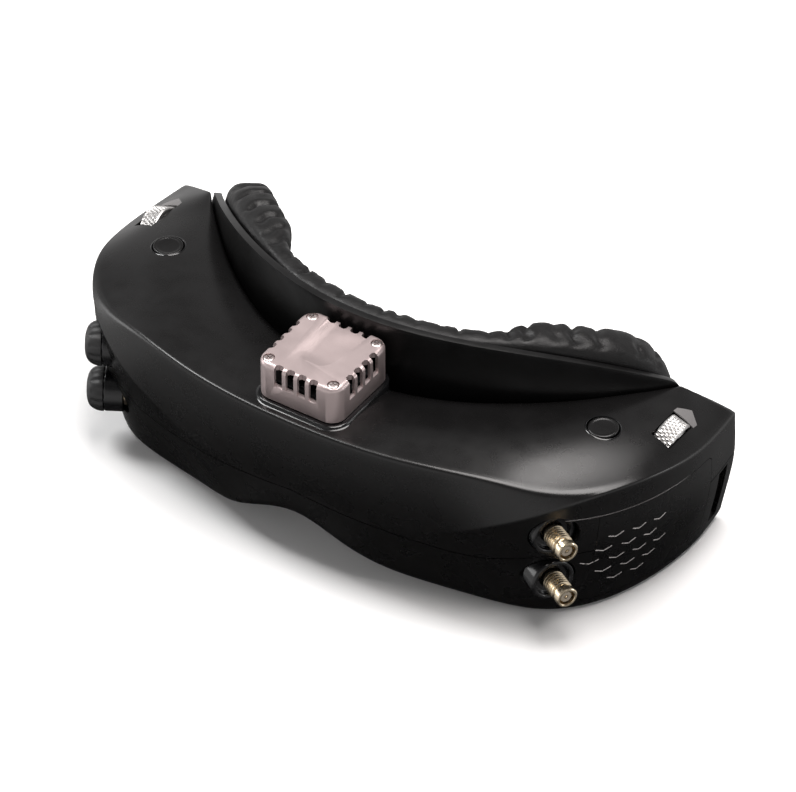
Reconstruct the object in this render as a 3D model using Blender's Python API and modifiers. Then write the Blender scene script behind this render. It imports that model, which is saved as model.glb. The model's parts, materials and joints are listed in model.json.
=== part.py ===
"""FPV goggles: a crescent visor with a face plate and pad behind it, built as separate pieces.

The numbers in this file are millimetres in the design frame: x to the side (the wearer's left is
+x), y to the rear (towards the face), z up, with y = 0 at the front edge of the nose notch. MM
turns them into metres. The empty "goggles" moves the whole object so that the origin is at the
bottom centre of its box.
"""
import math

import bmesh
import bpy
from mathutils import Matrix, Vector
from mathutils.bvhtree import BVHTree

MM = 0.001

# ---- driving dimensions (mm) -------------------------------------------------------------
WALL = 2.2            # moulded shell thickness
GAP = 0.3             # play between touching pieces
FLOOR_Z = -11.8       # underside of the body
BOX_MID_Y = 40.6      # middle of the whole object, front to back
EYE_X, EYE_Z = 32.0, 14.0      # optical axes: 64 mm between the eyes
IPD_TRAVEL = 4.0      # each eye moves this far in and out
PLATE_T = 2.0         # face plate thickness
FOAM_T = 13.0         # face pad thickness
FAN_Y = 15.5          # centre of the fan block
BLOCK_HALF, BLOCK_R = 13.75, 4.5
BLOCK_Z0, BLOCK_Z1 = 42.1, 54.4
SCREW_AT = 10.8       # fan block screws, from its centre
BUTTON = (73.6, 45.2, 39.7)
WHEEL = (85.7, 59.4, 30.0)
WHEEL_TILT = math.radians(19)
WHEEL_R, WHEEL_W = 7.4, 5.8
JACK = (75.5, 16.5)   # antenna jack position, x and y
JACK_Z = (22.4, 5.7)
JACK_TURN = math.radians(30)   # jacks point outwards and a little forwards
THREAD_R = 3.175      # quarter-inch antenna thread
SHELL_SCREWS = ((57.0, 42.0), (84.0, 70.8))
SIDES = {"left": 1, "right": -1}

# ---- rails of the body, from the centre to the ear: (x, y, z) ---------------------------
SHOULDER = [(0, 25, 38.6), (15.5, 26.6, 38.6), (30.5, 31.6, 38.6), (43, 38.8, 38.4), (56, 48.6, 38),
            (65, 57.4, 37.6), (71.5, 64.6, 37.2), (75.5, 69, 36.9), (78, 72.3, 36.7),
            (79.4, 74.4, 36.5), (80.2, 75.7, 36.3)]
CROWN = [(0, 12, 40.9), (16, 13, 41.0), (31, 16.5, 41.2), (45, 22, 41.3), (58, 29, 40.9),
         (69, 37.5, 40.3), (77, 45.5, 39.2), (83, 53.5, 37.6), (86.2, 61.5, 36.2), (87.4, 70, 34.6),
         (87.2, 79.4, 32.7)]
CREASE = [(0, -2.2, 40.6), (16, -1.8, 40.7), (32, 0, 40.9), (46, 3.4, 40.8), (60, 8.4, 39.8),
          (71.5, 13.8, 37.2), (82, 22, 36.4), (90.2, 36, 35.8), (93.4, 51, 33.2), (94.2, 65, 31),
          (93, 82, 29.6)]
FACET = [(0, -1, 16), (16, -0.6, 15.2), (31, 1.2, 14.2), (46, 4.2, 17), (60, 5.6, 24.6),
         (72.5, 10.8, 30.8), (84, 21.5, 35.2), (92, 36, 35.2), (95.2, 51.5, 32), (95.8, 65.5, 29.7),
         (94.2, 82.6, 28.6)]
BELLY = [(0, -0.4, 10.5), (16, 0.2, 8), (30, 3, 5.5), (44, 7, 5), (59, 10, 8), (73, 15, 11),
         (84, 25, 12), (91, 39, 12), (94.6, 54, 12), (95.6, 67, 12), (94, 83, 12)]
KEEL = [(0, 0.6, 5.8), (15.9, 0.8, 0), (27, 6, -7), (41, 12.5, -11.5), (57, 15.5, FLOOR_Z),
        (70, 19.5, FLOOR_Z), (80, 29, FLOOR_Z), (86.5, 42.5, FLOOR_Z), (90, 57, FLOOR_Z),
        (91, 70, FLOOR_Z), (90, 82.6, -11)]
VALLEY_XZ = [(0, 31.5), (16, 31.5), (32, 31.5), (46, 31.6), (60, 31.8), (69, 32), (74.5, 32.3),
             (77.5, 32.6), (79.2, 32.9), (80.2, 33.2), (81, 33.4)]
HEEL_X = [0, 14.5, 24, 38, 52, 63, 71, 75.5, 78.5, 80.2, 81]
LAST = len(CROWN) - 1

# ---- the parting line and the side covers ------------------------------------------------
SEAM_XZ = [(0, 15), (29, 12.4), (48, 9.8), (58, 10.1), (74, 14), (110, 14)]
COVER_YZ = [(25, 27.1), (35, 26.3), (47, 25.3), (66, 24), (67.5, 22.7), (67.5, -6.5),
            (66, -8), (26.5, -8), (25, -6.5)]


# ---- scene, collections and materials ----------------------------------------------------
for old in list(bpy.data.objects):
    bpy.data.objects.remove(old, do_unlink=True)

parts = bpy.data.collections.new("fpv_goggles")
cutters = bpy.data.collections.new("cutters")
bpy.context.scene.collection.children.link(parts)
bpy.context.scene.collection.children.link(cutters)

frame = bpy.data.objects.new("goggles", None)
frame.location = (0, -BOX_MID_Y * MM, -FLOOR_Z * MM)
parts.objects.link(frame)


def material(name, color, roughness, metallic=0.0, alpha=1.0):
    made = bpy.data.materials.new(name)
    made.use_nodes = True
    shader = made.node_tree.nodes["Principled BSDF"]
    shader.inputs["Base Color"].default_value = (*color, 1)
    shader.inputs["Roughness"].default_value = roughness
    shader.inputs["Metallic"].default_value = metallic
    shader.inputs["Alpha"].default_value = alpha
    return made


SHELL = material("satin_black_plastic", (0.02, 0.02, 0.022), 0.32)
PLATE = material("matte_black_plastic", (0.015, 0.015, 0.016), 0.45)
FOAM = material("black_leatherette_foam", (0.02, 0.02, 0.021), 0.75)
CHAMPAGNE = material("champagne_aluminium", (0.62, 0.5, 0.47), 0.35, 1.0)
STEEL = material("bright_steel", (0.6, 0.6, 0.6), 0.3, 1.0)
KNURL = material("silver_wheel", (0.7, 0.7, 0.7), 0.3, 1.0)
GOLD = material("gold_plated_brass", (0.85, 0.68, 0.35), 0.25, 1.0)
RUBBER = material("black_rubber", (0.018, 0.018, 0.018), 0.7)
GLASS = material("lens_glass", (0.9, 0.95, 1.0), 0.02, 0.0, 0.35)
BOARD = material("green_circuit_board", (0.02, 0.16, 0.07), 0.5)
SINK = material("anodised_heat_sink", (0.3, 0.3, 0.32), 0.4, 1.0)
INNER = material("black_inner_plastic", (0.03, 0.03, 0.032), 0.55)
SCREEN = material("display_glass", (0.01, 0.012, 0.02), 0.08)


# ---- helpers -----------------------------------------------------------------------------
def add_object(name, mesh, look=None, origin=(0, 0, 0), turn=None):
    """A named piece of the goggles, or, with no look, a cutter or helper that isn't drawn."""
    obj = bpy.data.objects.new(name, mesh)
    obj.parent = frame
    obj.location = Vector(origin) * MM
    if turn is not None:
        obj.rotation_mode = "QUATERNION"
        obj.rotation_quaternion = turn.to_quaternion()
    if look is None:
        cutters.objects.link(obj)
        obj.hide_render = True
        obj.display_type = "WIRE"
    else:
        parts.objects.link(obj)
        if not mesh.materials:
            mesh.materials.append(look)
    return obj


def mesh_of(bm, name, smooth=False):
    """Scales a bmesh made in millimetres to metres and closes it into a mesh."""
    bmesh.ops.scale(bm, vec=(MM, MM, MM), verts=bm.verts)
    mesh = bpy.data.meshes.new(name)
    bm.to_mesh(mesh)
    bm.free()
    if smooth:
        mesh.shade_smooth()
        mesh.set_sharp_from_angle(angle=math.radians(35))
    return mesh


def boxes(name, specs, look=None, **place):
    """Boxes given as (size, centre) or (size, centre, rotation matrix), in one object."""
    bm = bmesh.new()
    for size, centre, *turned in specs:
        rotation = turned[0].to_4x4() if turned else Matrix.Identity(4)
        matrix = Matrix.Translation(centre) @ rotation @ Matrix.Diagonal((*size, 1))
        bmesh.ops.create_cube(bm, size=1, matrix=matrix)
    return add_object(name, mesh_of(bm, name), look, **place)


def rods(name, specs, look=None, sides=14, **place):
    """Cylinders given as (radius, start point, end point), in one object."""
    bm = bmesh.new()
    for radius, start, end in specs:
        start, end = Vector(start), Vector(end)
        turn = (end - start).to_track_quat("Z", "Y").to_matrix().to_4x4()
        bmesh.ops.create_cone(bm, cap_ends=True, segments=sides, radius1=radius, radius2=radius,
                              depth=(end - start).length,
                              matrix=Matrix.Translation((start + end) / 2) @ turn)
    return add_object(name, mesh_of(bm, name), look, **place)


def turned(name, profile, look=None, steps=20, closed=False, **place):
    """A turned piece: (radius, height) from the top down its outer side, about the local Z axis.

    A closed profile comes back up the inside, as for a tube.
    """
    bm = bmesh.new()
    points = [bm.verts.new((radius, 0, height)) for radius, height in profile]
    ends = points[1:] + (points[:1] if closed else [])
    for start, end in zip(points, ends):
        bm.edges.new((start, end))
    obj = add_object(name, mesh_of(bm, name), look, **place)
    screw = obj.modifiers.new("turn", "SCREW")
    screw.steps = screw.render_steps = steps
    screw.use_merge_vertices = True
    screw.merge_threshold = 0.00001
    screw.use_smooth_shade = False
    return obj


def prism(name, outline, low, high, look=None, turn=None, **place):
    """A flat outline filled and extruded along the local Z axis from low to high."""
    curve = bpy.data.curves.new(name, "CURVE")
    curve.dimensions = "2D"
    curve.fill_mode = "BOTH"
    curve.extrude = (high - low) / 2 * MM
    spline = curve.splines.new("POLY")
    spline.points.add(len(outline) - 1)
    for point, (u, v) in zip(spline.points, outline):
        point.co = (u * MM, v * MM, 0, 1)
    spline.use_cyclic_u = True
    flat = bpy.data.objects.new(name, curve)
    bpy.context.scene.collection.objects.link(flat)
    graph = bpy.context.evaluated_depsgraph_get()
    mesh = bpy.data.meshes.new_from_object(flat.evaluated_get(graph))
    bpy.data.objects.remove(flat, do_unlink=True)
    bm = bmesh.new()
    bm.from_mesh(mesh)
    bmesh.ops.remove_doubles(bm, verts=bm.verts, dist=0.000001)
    bmesh.ops.translate(bm, vec=(0, 0, (low + high) / 2 * MM), verts=bm.verts)
    bmesh.ops.recalc_face_normals(bm, faces=bm.faces)
    bm.to_mesh(mesh)
    bm.free()
    mesh.materials.clear()
    return add_object(name, mesh, look, turn=turn, **place)


def boolean(obj, operation, *others):
    for other in others:
        cut = obj.modifiers.new(other.name, "BOOLEAN")
        cut.operation = operation
        cut.object = other
        cut.solver = "EXACT"


def rounded_square(half, radius, corner_points=5):
    """Outline of a square with round corners, anticlockwise."""
    outline = []
    for quarter in range(4):
        middle = Vector((half - radius, half - radius))
        for step in range(corner_points):
            angle = math.pi / 2 * step / (corner_points - 1)
            point = middle + radius * Vector((math.cos(angle), math.sin(angle)))
            outline.append(Matrix.Rotation(quarter * math.pi / 2, 2) @ point)
    return [tuple(point) for point in outline]


def mirrored(matrix, side):
    """The frame of axes of a piece on the other side: x turned over, and kept right-handed."""
    if side > 0:
        return matrix
    flip = Matrix.Diagonal((-1, 1, 1))
    return flip @ matrix @ Matrix.Diagonal((-1, 1, 1))


AXES_XZ = Matrix(((1, 0, 0), (0, 0, -1), (0, 1, 0)))    # an outline in x, z, extruded to -y
AXES_YZ = Matrix(((0, 0, 1), (1, 0, 0), (0, 1, 0)))     # an outline in y, z, extruded to x
REAR_AXIS = Matrix(((1, 0, 0), (0, 0, 1), (0, -1, 0)))  # local Z points to the rear (+y)


# ---- the face plate's surface ------------------------------------------------------------
RIM_TOP = 58.0
PLATE_END = 82.0
PLATE_JOIN_Z = 31.5
LEAN = 1.6


def wall_y(x):
    """Front surface of the face plate, in plan, at and below the valley."""
    return 31.5 + 0.0062 * x**2 + 1.2e-7 * x**4


def smooth_step(value):
    value = min(max(value, 0.0), 1.0)
    return value * value * (3 - 2 * value)


def rim_curve(x):
    return RIM_TOP - 0.0012 * x**2 - 3.5e-7 * x**4


def rim_z(x):
    """Top edge of the face plate, with the tip's corner rounded off."""
    return rim_curve(x) - 5.0 * smooth_step((abs(x) - 77) / (PLATE_END - 77)) ** 2


def base_z(x):
    """Bottom edge of the face plate and the body: level, with the nose relief in the middle."""
    relief = 21.3 * (1 - smooth_step((abs(x) - 6) / 22))
    return FLOOR_Z + relief + 4.0 * smooth_step((abs(x) - 76) / (PLATE_END - 76)) ** 2


def plate_point(x, z, behind=0.0):
    """A point on the face plate, moved to the rear along its plan normal."""
    share = max(z - PLATE_JOIN_Z, 0) / (rim_curve(x) - PLATE_JOIN_Z)
    y = wall_y(x) - LEAN * (1 - (x / 60) ** 2) * share
    slope = 0.0124 * x + 4.8e-7 * x**3
    length = math.hypot(slope, 1)
    return Vector((x - behind * slope / length, y + behind / length, z))


# ---- the body's surface ------------------------------------------------------------------
PLATE_GAP = 0.35
VALLEY = [(x, wall_y(x) - PLATE_GAP, z) for x, z in VALLEY_XZ]
HEEL = [(x, wall_y(x) - PLATE_GAP, max(base_z(x), FLOOR_Z)) for x in HEEL_X]


def spline_at(points, t):
    """Catmull-Rom curve through the points, one unit of t to a span."""
    last = len(points) - 1
    i = min(int(t), last - 1)
    u = t - i
    p1, p2 = Vector(points[i]), Vector(points[i + 1])
    p0 = Vector(points[i - 1]) if i else 2 * p1 - p2
    p3 = Vector(points[i + 2]) if i + 2 <= last else 2 * p2 - p1
    return 0.5 * (2 * p1 + (p2 - p0) * u + (2 * p0 - 5 * p1 + 4 * p2 - p3) * u**2
                  + (3 * p1 - p0 - 3 * p2 + p3) * u**3)


def centre_rail(points, t):
    """A rail through both halves, level where it crosses the middle."""
    both = [(-x, y, z) for x, y, z in reversed(points[1:])] + list(points)
    return spline_at(both, t + len(points) - 1)


def rail_points(t):
    """Where the eight rails cross one section, kept above the floor."""
    points = [centre_rail(rail, t)
              for rail in (VALLEY, SHOULDER, CROWN, CREASE, FACET, BELLY, KEEL, HEEL)]
    for point in points:
        point.z = max(point.z, FLOOR_Z)
    return points


def section(t, fine=2):
    """One section of the body, from the valley over the top, down the front, to the heel."""
    valley, shoulder, crown, crease, facet, belly, keel, heel = rail_points(t)
    top = [spline_at((valley, shoulder, crown, crease), i / fine) for i in range(3 * fine)]
    for point in top:
        point.y = min(point.y, wall_y(point.x) - PLATE_GAP)
    outward = Vector((0, -1, 0)) * (crease - facet).length * 0.03
    front = [crease, (crease + facet) / 2 + outward]
    lower = [spline_at((facet, belly, keel), i / fine) for i in range(2 * fine)]
    return top + front + lower + [keel, (keel + heel) / 2, heel]


def loft(bm, rings):
    """Joins closed rings of equal size into one closed solid, with a fan over each end."""
    columns = [[bm.verts.new(point) for point in ring] for ring in rings]
    for here, after in zip(columns, columns[1:]):
        for i in range(len(here)):
            j = (i + 1) % len(here)
            bm.faces.new((here[i], here[j], after[j], after[i]))
    for ring in (columns[0], columns[-1]):
        hub = bm.verts.new(sum((vert.co for vert in ring), Vector()) / len(ring))
        for i in range(len(ring)):
            bm.faces.new((ring[i], ring[(i + 1) % len(ring)], hub))
    bmesh.ops.triangulate(bm, faces=bm.faces)
    bmesh.ops.recalc_face_normals(bm, faces=bm.faces)


def body_solid(name):
    """The outside of the body as a closed solid."""
    bm = bmesh.new()
    loft(bm, [section(step / 2) for step in range(-2 * LAST, 2 * LAST + 1)])
    return mesh_of(bm, name)


def inset(outline, distances):
    """Moves each edge of a flat outline inwards by its own distance; negative is outwards."""
    lines = []
    for i, point in enumerate(outline):
        along = (outline[(i + 1) % len(outline)] - point).normalized()
        inward = Vector((-along.y, along.x))
        lines.append((point + inward * distances[i], along))
    moved = []
    for i, (point, along) in enumerate(lines):
        before, direction = lines[i - 1]
        cross = direction.x * along.y - direction.y * along.x
        gap = point - before
        straight = abs(cross) < 0.02
        moved.append(point if straight else
                     before + direction * (gap.x * along.y - gap.y * along.x) / cross)
    return moved


def cavity_section(t, open_back=3.0):
    """The hollow inside one section: a wall's thickness in, and out through the back."""
    valley, shoulder, crown, crease, facet, belly, keel, heel = rail_points(t)
    share = smooth_step(((crease - facet).length - 3) / 6)
    crease = (crown * 0.4 + facet * 0.6).lerp(crease, share)
    ring = [valley, shoulder, crown, crease, facet, belly, keel, heel]
    rear = (valley + heel) / 2
    forward = facet - rear
    forward.z = 0
    forward.normalize()
    sideways = Vector((-forward.y, forward.x, 0))
    flat = [Vector((-(point - rear).dot(forward), point.z)) for point in ring]
    distances = [WALL] * (len(ring) - 1) + [-open_back]
    moved = inset(flat, distances)
    if not flat[0].y - 9 < moved[0].y < flat[0].y - WALL:
        moved[0] = Vector((moved[-1].x, flat[0].y - 9))
    moved_ring = []
    for point, new in zip(ring, moved):
        place = rear - forward * new.x + sideways * (point - rear).dot(sideways)
        moved_ring.append(Vector((place.x, place.y, new.y)))
    return moved_ring


NOSE_STEPS = 6   # half stations about the middle where the hollow is lofted more finely


def cavity_solid(name):
    bm = bmesh.new()
    stations = [step / 2 for step in range(2 - 2 * LAST, 2 * LAST - 1)
                if step % 2 == 0 or abs(step) < NOSE_STEPS]
    rings = [cavity_section(t) for t in stations]
    for end in (1, -1):
        inner, outer = Vector(VALLEY[-1]), Vector(FACET[-1])
        along = (outer - inner).to_2d().normalized()
        shift = Vector((end * along.y, -along.x, 0)) * WALL
        ring = [point + shift for point in cavity_section(end * LAST)]
        rings = rings + [ring] if end > 0 else [ring] + rings
    loft(bm, rings)
    return mesh_of(bm, name)


cavity = add_object("cavity", cavity_solid("cavity"))


def hollow_body(name):
    obj = add_object(name, skin, SHELL)
    boolean(obj, "DIFFERENCE", cavity)
    return obj


skin = body_solid("body_skin")
skin.materials.append(SHELL)
skin_points = [vert.co / MM for vert in skin.vertices]
skin_tree = BVHTree.FromPolygons(skin_points, [face.vertices[:] for face in skin.polygons])


def top_z(x, y):
    """Height of the body's top surface above a point."""
    return skin_tree.ray_cast(Vector((x, y, 80)), Vector((0, 0, -1)))[0].z


# ---- shells ------------------------------------------------------------------------------
seam = [(-x, z) for x, z in reversed(SEAM_XZ[1:])] + SEAM_XZ
half_gap = GAP / 2
below_seam = prism("below_seam", [(x, z + half_gap) for x, z in seam] + [(110, -40), (-110, -40)],
                   -110, 30, turn=AXES_XZ)
above_seam = prism("above_seam", [(x, z - half_gap) for x, z in seam] + [(110, 90), (-110, 90)],
                   -110, 30, turn=AXES_XZ)

upper_shell = hollow_body("upper_shell")
boolean(upper_shell, "DIFFERENCE", below_seam)
lower_shell = hollow_body("lower_shell")
boolean(lower_shell, "DIFFERENCE", above_seam)


def inset_outline(outline, distance):
    """Moves each point of a nearly convex outline towards the middle by about the distance."""
    middle = sum((Vector(point) for point in outline), Vector((0, 0))) / len(outline)
    moved = []
    for point in outline:
        offset = middle - Vector(point)
        moved.append((point[0] + math.copysign(distance, offset[0]),
                      point[1] + math.copysign(distance, offset[1])))
    return moved


# one cutter through both sides: between them it crosses only the hollow middle
cover_windows = prism("cover_windows", COVER_YZ, -112, 112, turn=AXES_YZ)
boolean(upper_shell, "DIFFERENCE", cover_windows)
boolean(lower_shell, "DIFFERENCE", cover_windows)
for name, side in SIDES.items():
    span = (70, 113) if side > 0 else (-113, -70)
    keep = prism(f"cover_keep_{name}", inset_outline(COVER_YZ, GAP), *span, turn=AXES_YZ)
    cover = hollow_body(f"side_cover_{name}")
    boolean(cover, "INTERSECT", keep)

# strap slots in the ears: one in the side wall and one in the rear wall
SLOT_LOW, SLOT_HIGH = -6.5, 13.0
for name, side in SIDES.items():
    height, middle = SLOT_HIGH - SLOT_LOW, (SLOT_HIGH + SLOT_LOW) / 2
    side_slot = boxes(f"side_slot_{name}", [((14, 5.2, height), (side * 95.5, 75.5, middle))])
    rear_slot = boxes(f"rear_slot_{name}", [((4.6, 15.6, height), (side * 86.7, 82.2, middle))])
    boolean(lower_shell, "DIFFERENCE", side_slot, rear_slot)


# ---- antenna jacks, their bosses and dust caps -------------------------------------------
def jack_axis(side):
    return Vector((side * math.cos(JACK_TURN), -math.sin(JACK_TURN), 0))


def jack_turn(side):
    return jack_axis(side).to_track_quat("Z", "Y").to_matrix()


BOSS_R = 6.6
for name, side in SIDES.items():
    for level, z in zip(("upper", "lower"), JACK_Z):
        origin = Vector((side * JACK[0], JACK[1], z))
        axis = jack_axis(side)
        hole = rods(f"jack_hole_{level}_{name}", [(BOSS_R + GAP, -7 * axis, 7 * axis)],
                    sides=20, origin=origin)
        boolean(upper_shell if level == "upper" else lower_shell, "DIFFERENCE", hole)
        place = {"origin": origin, "turn": jack_turn(side)}
        turned(f"jack_boss_{level}_{name}",
               [(BOSS_R - 0.5, 0.9), (BOSS_R, 0.4), (BOSS_R, -4.6), (THREAD_R + 0.2, -4.6),
                (THREAD_R + 0.2, -0.8), (4.9, -0.8), (4.9, 0.9)],
               INNER, closed=True, **place)
        reach = 9.3 if side > 0 else 4.4
        turned(f"antenna_jack_{level}_{name}",
               [(0, reach - 1.2), (0.6, reach - 1.2), (0.6, reach - 3.6), (2.3, reach - 3.6),
                (2.3, reach), (THREAD_R, reach), (THREAD_R, -4.9), (4.7, -4.9), (4.7, -6.3),
                (0, -6.3)],
               GOLD, steps=14, **place)
    for level, z in zip(("upper", "lower"), JACK_Z):
        if side > 0:
            continue
        origin = Vector((side * JACK[0], JACK[1], z))
        turned(f"dust_cap_{level}",
               [(0, 6.2), (2.4, 6.1), (4.8, 5.4), (6.1, 4.0), (6.7, 2.2), (6.7, 1.2),
                (THREAD_R + 0.25, 1.2), (THREAD_R + 0.25, 4.8), (0, 4.8)],
               RUBBER, steps=16, origin=origin, turn=jack_turn(side))


# ---- fan block ---------------------------------------------------------------------------
PLINTH_HALF, PLINTH_TOP, DUCT_HALF = 14.8, 41.8, 9.8
duct = boxes("fan_duct", [((2 * DUCT_HALF + 1, 2 * DUCT_HALF + 1, 20), (0, FAN_Y, 40))])
boolean(upper_shell, "DIFFERENCE", duct)


fan_plinth = prism("fan_plinth", rounded_square(PLINTH_HALF, 5.5, 4), 33, PLINTH_TOP, INNER,
                   origin=(0, FAN_Y, 0))
plinth_duct = boxes("plinth_duct", [((2 * DUCT_HALF, 2 * DUCT_HALF, 20), (0, FAN_Y, 40))])
body_below = add_object("body_below", skin, origin=(0, 0, GAP))
boolean(fan_plinth, "DIFFERENCE", plinth_duct, body_below)
corners = [(x, y + FAN_Y) for x in (-SCREW_AT, SCREW_AT) for y in (-SCREW_AT, SCREW_AT)]

fan_cover = prism("fan_cover", rounded_square(BLOCK_HALF, BLOCK_R, 4), BLOCK_Z0, BLOCK_Z1,
                  CHAMPAGNE, origin=(0, FAN_Y, 0))
COVER_WALL, COVER_TOP = 1.4, 1.8
hollow = prism("cover_hollow", rounded_square(BLOCK_HALF - COVER_WALL, BLOCK_R - COVER_WALL, 3),
               BLOCK_Z0 - 2, BLOCK_Z1 - COVER_TOP, origin=(0, FAN_Y, 0))
louvres = []
for offset in (-5.85, -1.95, 1.95, 5.85):
    for sign in (-1, 1):
        louvres.append(((2.1, 5.2, 9), (offset, FAN_Y + sign * BLOCK_HALF, BLOCK_Z1 - 2.9)))
        louvres.append(((5.2, 2.1, 9), (sign * BLOCK_HALF, FAN_Y + offset, BLOCK_Z1 - 2.9)))
louvre_cut = boxes("louvre_cut", louvres)
scoop = prism("scoop", [(-2.6, -5.5), (2.6, -5.5), (6.2, BLOCK_HALF + 1), (-6.2, BLOCK_HALF + 1)],
              BLOCK_Z1 - 0.8, BLOCK_Z1 + 2, origin=(0, FAN_Y, 0))
screw_holes = rods("cover_screw_holes",
                   [(1.0, (x, y, BLOCK_Z1 - 4), (x, y, BLOCK_Z1 + 1)) for x, y in corners], sides=12)
screw_heads = rods("cover_head_holes",
                   [(1.75, (x, y, BLOCK_Z1 - 1.1), (x, y, BLOCK_Z1 + 1)) for x, y in corners],
                   sides=12)
boolean(fan_cover, "DIFFERENCE", hollow, louvre_cut, scoop, screw_heads, screw_holes)
plinth_holes = rods("plinth_screw_holes", [(0.85, (x, y, 36), (x, y, 43)) for x, y in corners],
                    sides=12)
boolean(fan_plinth, "DIFFERENCE", plinth_holes)
boolean(upper_shell, "DIFFERENCE", plinth_holes)
for number, (x, y) in enumerate(corners, 1):
    turned(f"fan_screw_{number}",
           [(0, 54.35), (1.45, 54.25), (1.45, 53.5), (0.7, 53.5), (0.7, 39.8), (0, 39.8)],
           STEEL, steps=10, origin=(x, y, 0))

FRAME_Z0, FRAME_Z1, CHAMFER = 42.2, 48.2, 4.4
edge = 12.0
octagon = [(edge, edge - CHAMFER), (edge - CHAMFER, edge), (CHAMFER - edge, edge),
           (-edge, edge - CHAMFER), (-edge, CHAMFER - edge), (CHAMFER - edge, -edge),
           (edge - CHAMFER, -edge), (edge, CHAMFER - edge)]
fan_frame = prism("fan_frame", octagon, FRAME_Z0, FRAME_Z1, INNER, origin=(0, FAN_Y, 0))
bore = rods("fan_bore", [(10.6, (0, 0, FRAME_Z0 - 1), (0, 0, FRAME_Z1 + 1))], sides=24,
            origin=(0, FAN_Y, 0))
struts = boxes("fan_struts", [
    ((8, 1.6, 0.8), (7.2 * math.cos(a), 7.2 * math.sin(a), FRAME_Z0 + 0.6),
     Matrix.Rotation(a, 3, "Z"))
    for a in (math.radians(90), math.radians(210), math.radians(330))], origin=(0, FAN_Y, 0))
hub_seat = rods("fan_hub_seat", [(4.4, (0, 0, FRAME_Z0 + 0.1), (0, 0, FRAME_Z0 + 1.1))], sides=20,
                origin=(0, FAN_Y, 0))
boolean(fan_frame, "DIFFERENCE", bore)
boolean(fan_frame, "UNION", hub_seat, struts)

BLADES, BLADE_PITCH = 7, math.radians(38)
fan_rotor = rods("fan_rotor", [(4.5, (0, 0, FRAME_Z0 + 1.5), (0, 0, FRAME_Z1 - 0.2))], INNER,
                 sides=16, origin=(0, FAN_Y, 0))
for number in range(BLADES):
    angle = number * 2 * math.pi / BLADES
    tilt = Matrix.Rotation(angle, 3, "Z") @ Matrix.Rotation(BLADE_PITCH, 3, "X")
    centre = (7.0 * math.cos(angle), 7.0 * math.sin(angle), (FRAME_Z0 + FRAME_Z1) / 2 + 0.6)
    blade = boxes(f"fan_blade_{number}", [((6.0, 4.6, 0.6), centre, tilt)], origin=(0, FAN_Y, 0))
    boolean(fan_rotor, "UNION", blade)

# finned heat sink under the fan: a comb outline, extruded front to back
FINS, SINK_HALF, FIN_T = 6, 9.0, 1.0
pitch = (2 * SINK_HALF - FIN_T) / (FINS - 1)
comb = [(-SINK_HALF, 35.6)]
for fin in range(FINS):
    left = -SINK_HALF + fin * pitch
    comb += [(left, 37.2)] if fin else []
    comb += [(left, 41.4), (left + FIN_T, 41.4)]
    comb += [(left + FIN_T, 37.2)] if fin < FINS - 1 else []
comb.append((SINK_HALF, 35.6))
prism("heat_sink", comb, -FAN_Y - SINK_HALF, -FAN_Y + SINK_HALF, SINK, turn=AXES_XZ)


# ---- round buttons and their switches ----------------------------------------------------
for name, side in SIDES.items():
    x, y, z = side * BUTTON[0], BUTTON[1], BUTTON[2]
    hole = rods(f"button_hole_{name}", [(4.7, (x, y, z - 8), (x, y, z + 5))], sides=24)
    boolean(upper_shell, "DIFFERENCE", hole)
    turned(f"button_{name}",
           [(0, 0), (2.6, -0.05), (4.0, -0.25), (4.4, -0.6), (4.4, -3.6), (5.3, -3.6),
            (5.3, -4.6), (1.6, -4.6), (1.6, -6.0), (0, -6.0)],
           SHELL, origin=(x, y, z))
    switch = boxes(f"button_switch_{name}", [((10, 10, 1.2), (x, y, z - 11.1))], BOARD)
    body = boxes(f"switch_body_{name}", [((6, 6, 3.4), (x, y, z - 9.0))])
    plunger = rods(f"switch_plunger_{name}", [(1.6, (x, y, z - 8), (x, y, z - 6.8))])
    boolean(switch, "UNION", body, plunger)


# ---- jog wheels in their yokes -----------------------------------------------------------
def wheel_axes(side):
    """Columns: the wheel's axle, the direction to the rear, and the way out of the shell."""
    axle = Vector((math.cos(WHEEL_TILT), 0, -math.sin(WHEEL_TILT)))
    out = Vector((math.sin(WHEEL_TILT), 0, math.cos(WHEEL_TILT)))
    return mirrored(Matrix((axle, Vector((0, 1, 0)), out)).transposed(), side)


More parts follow.
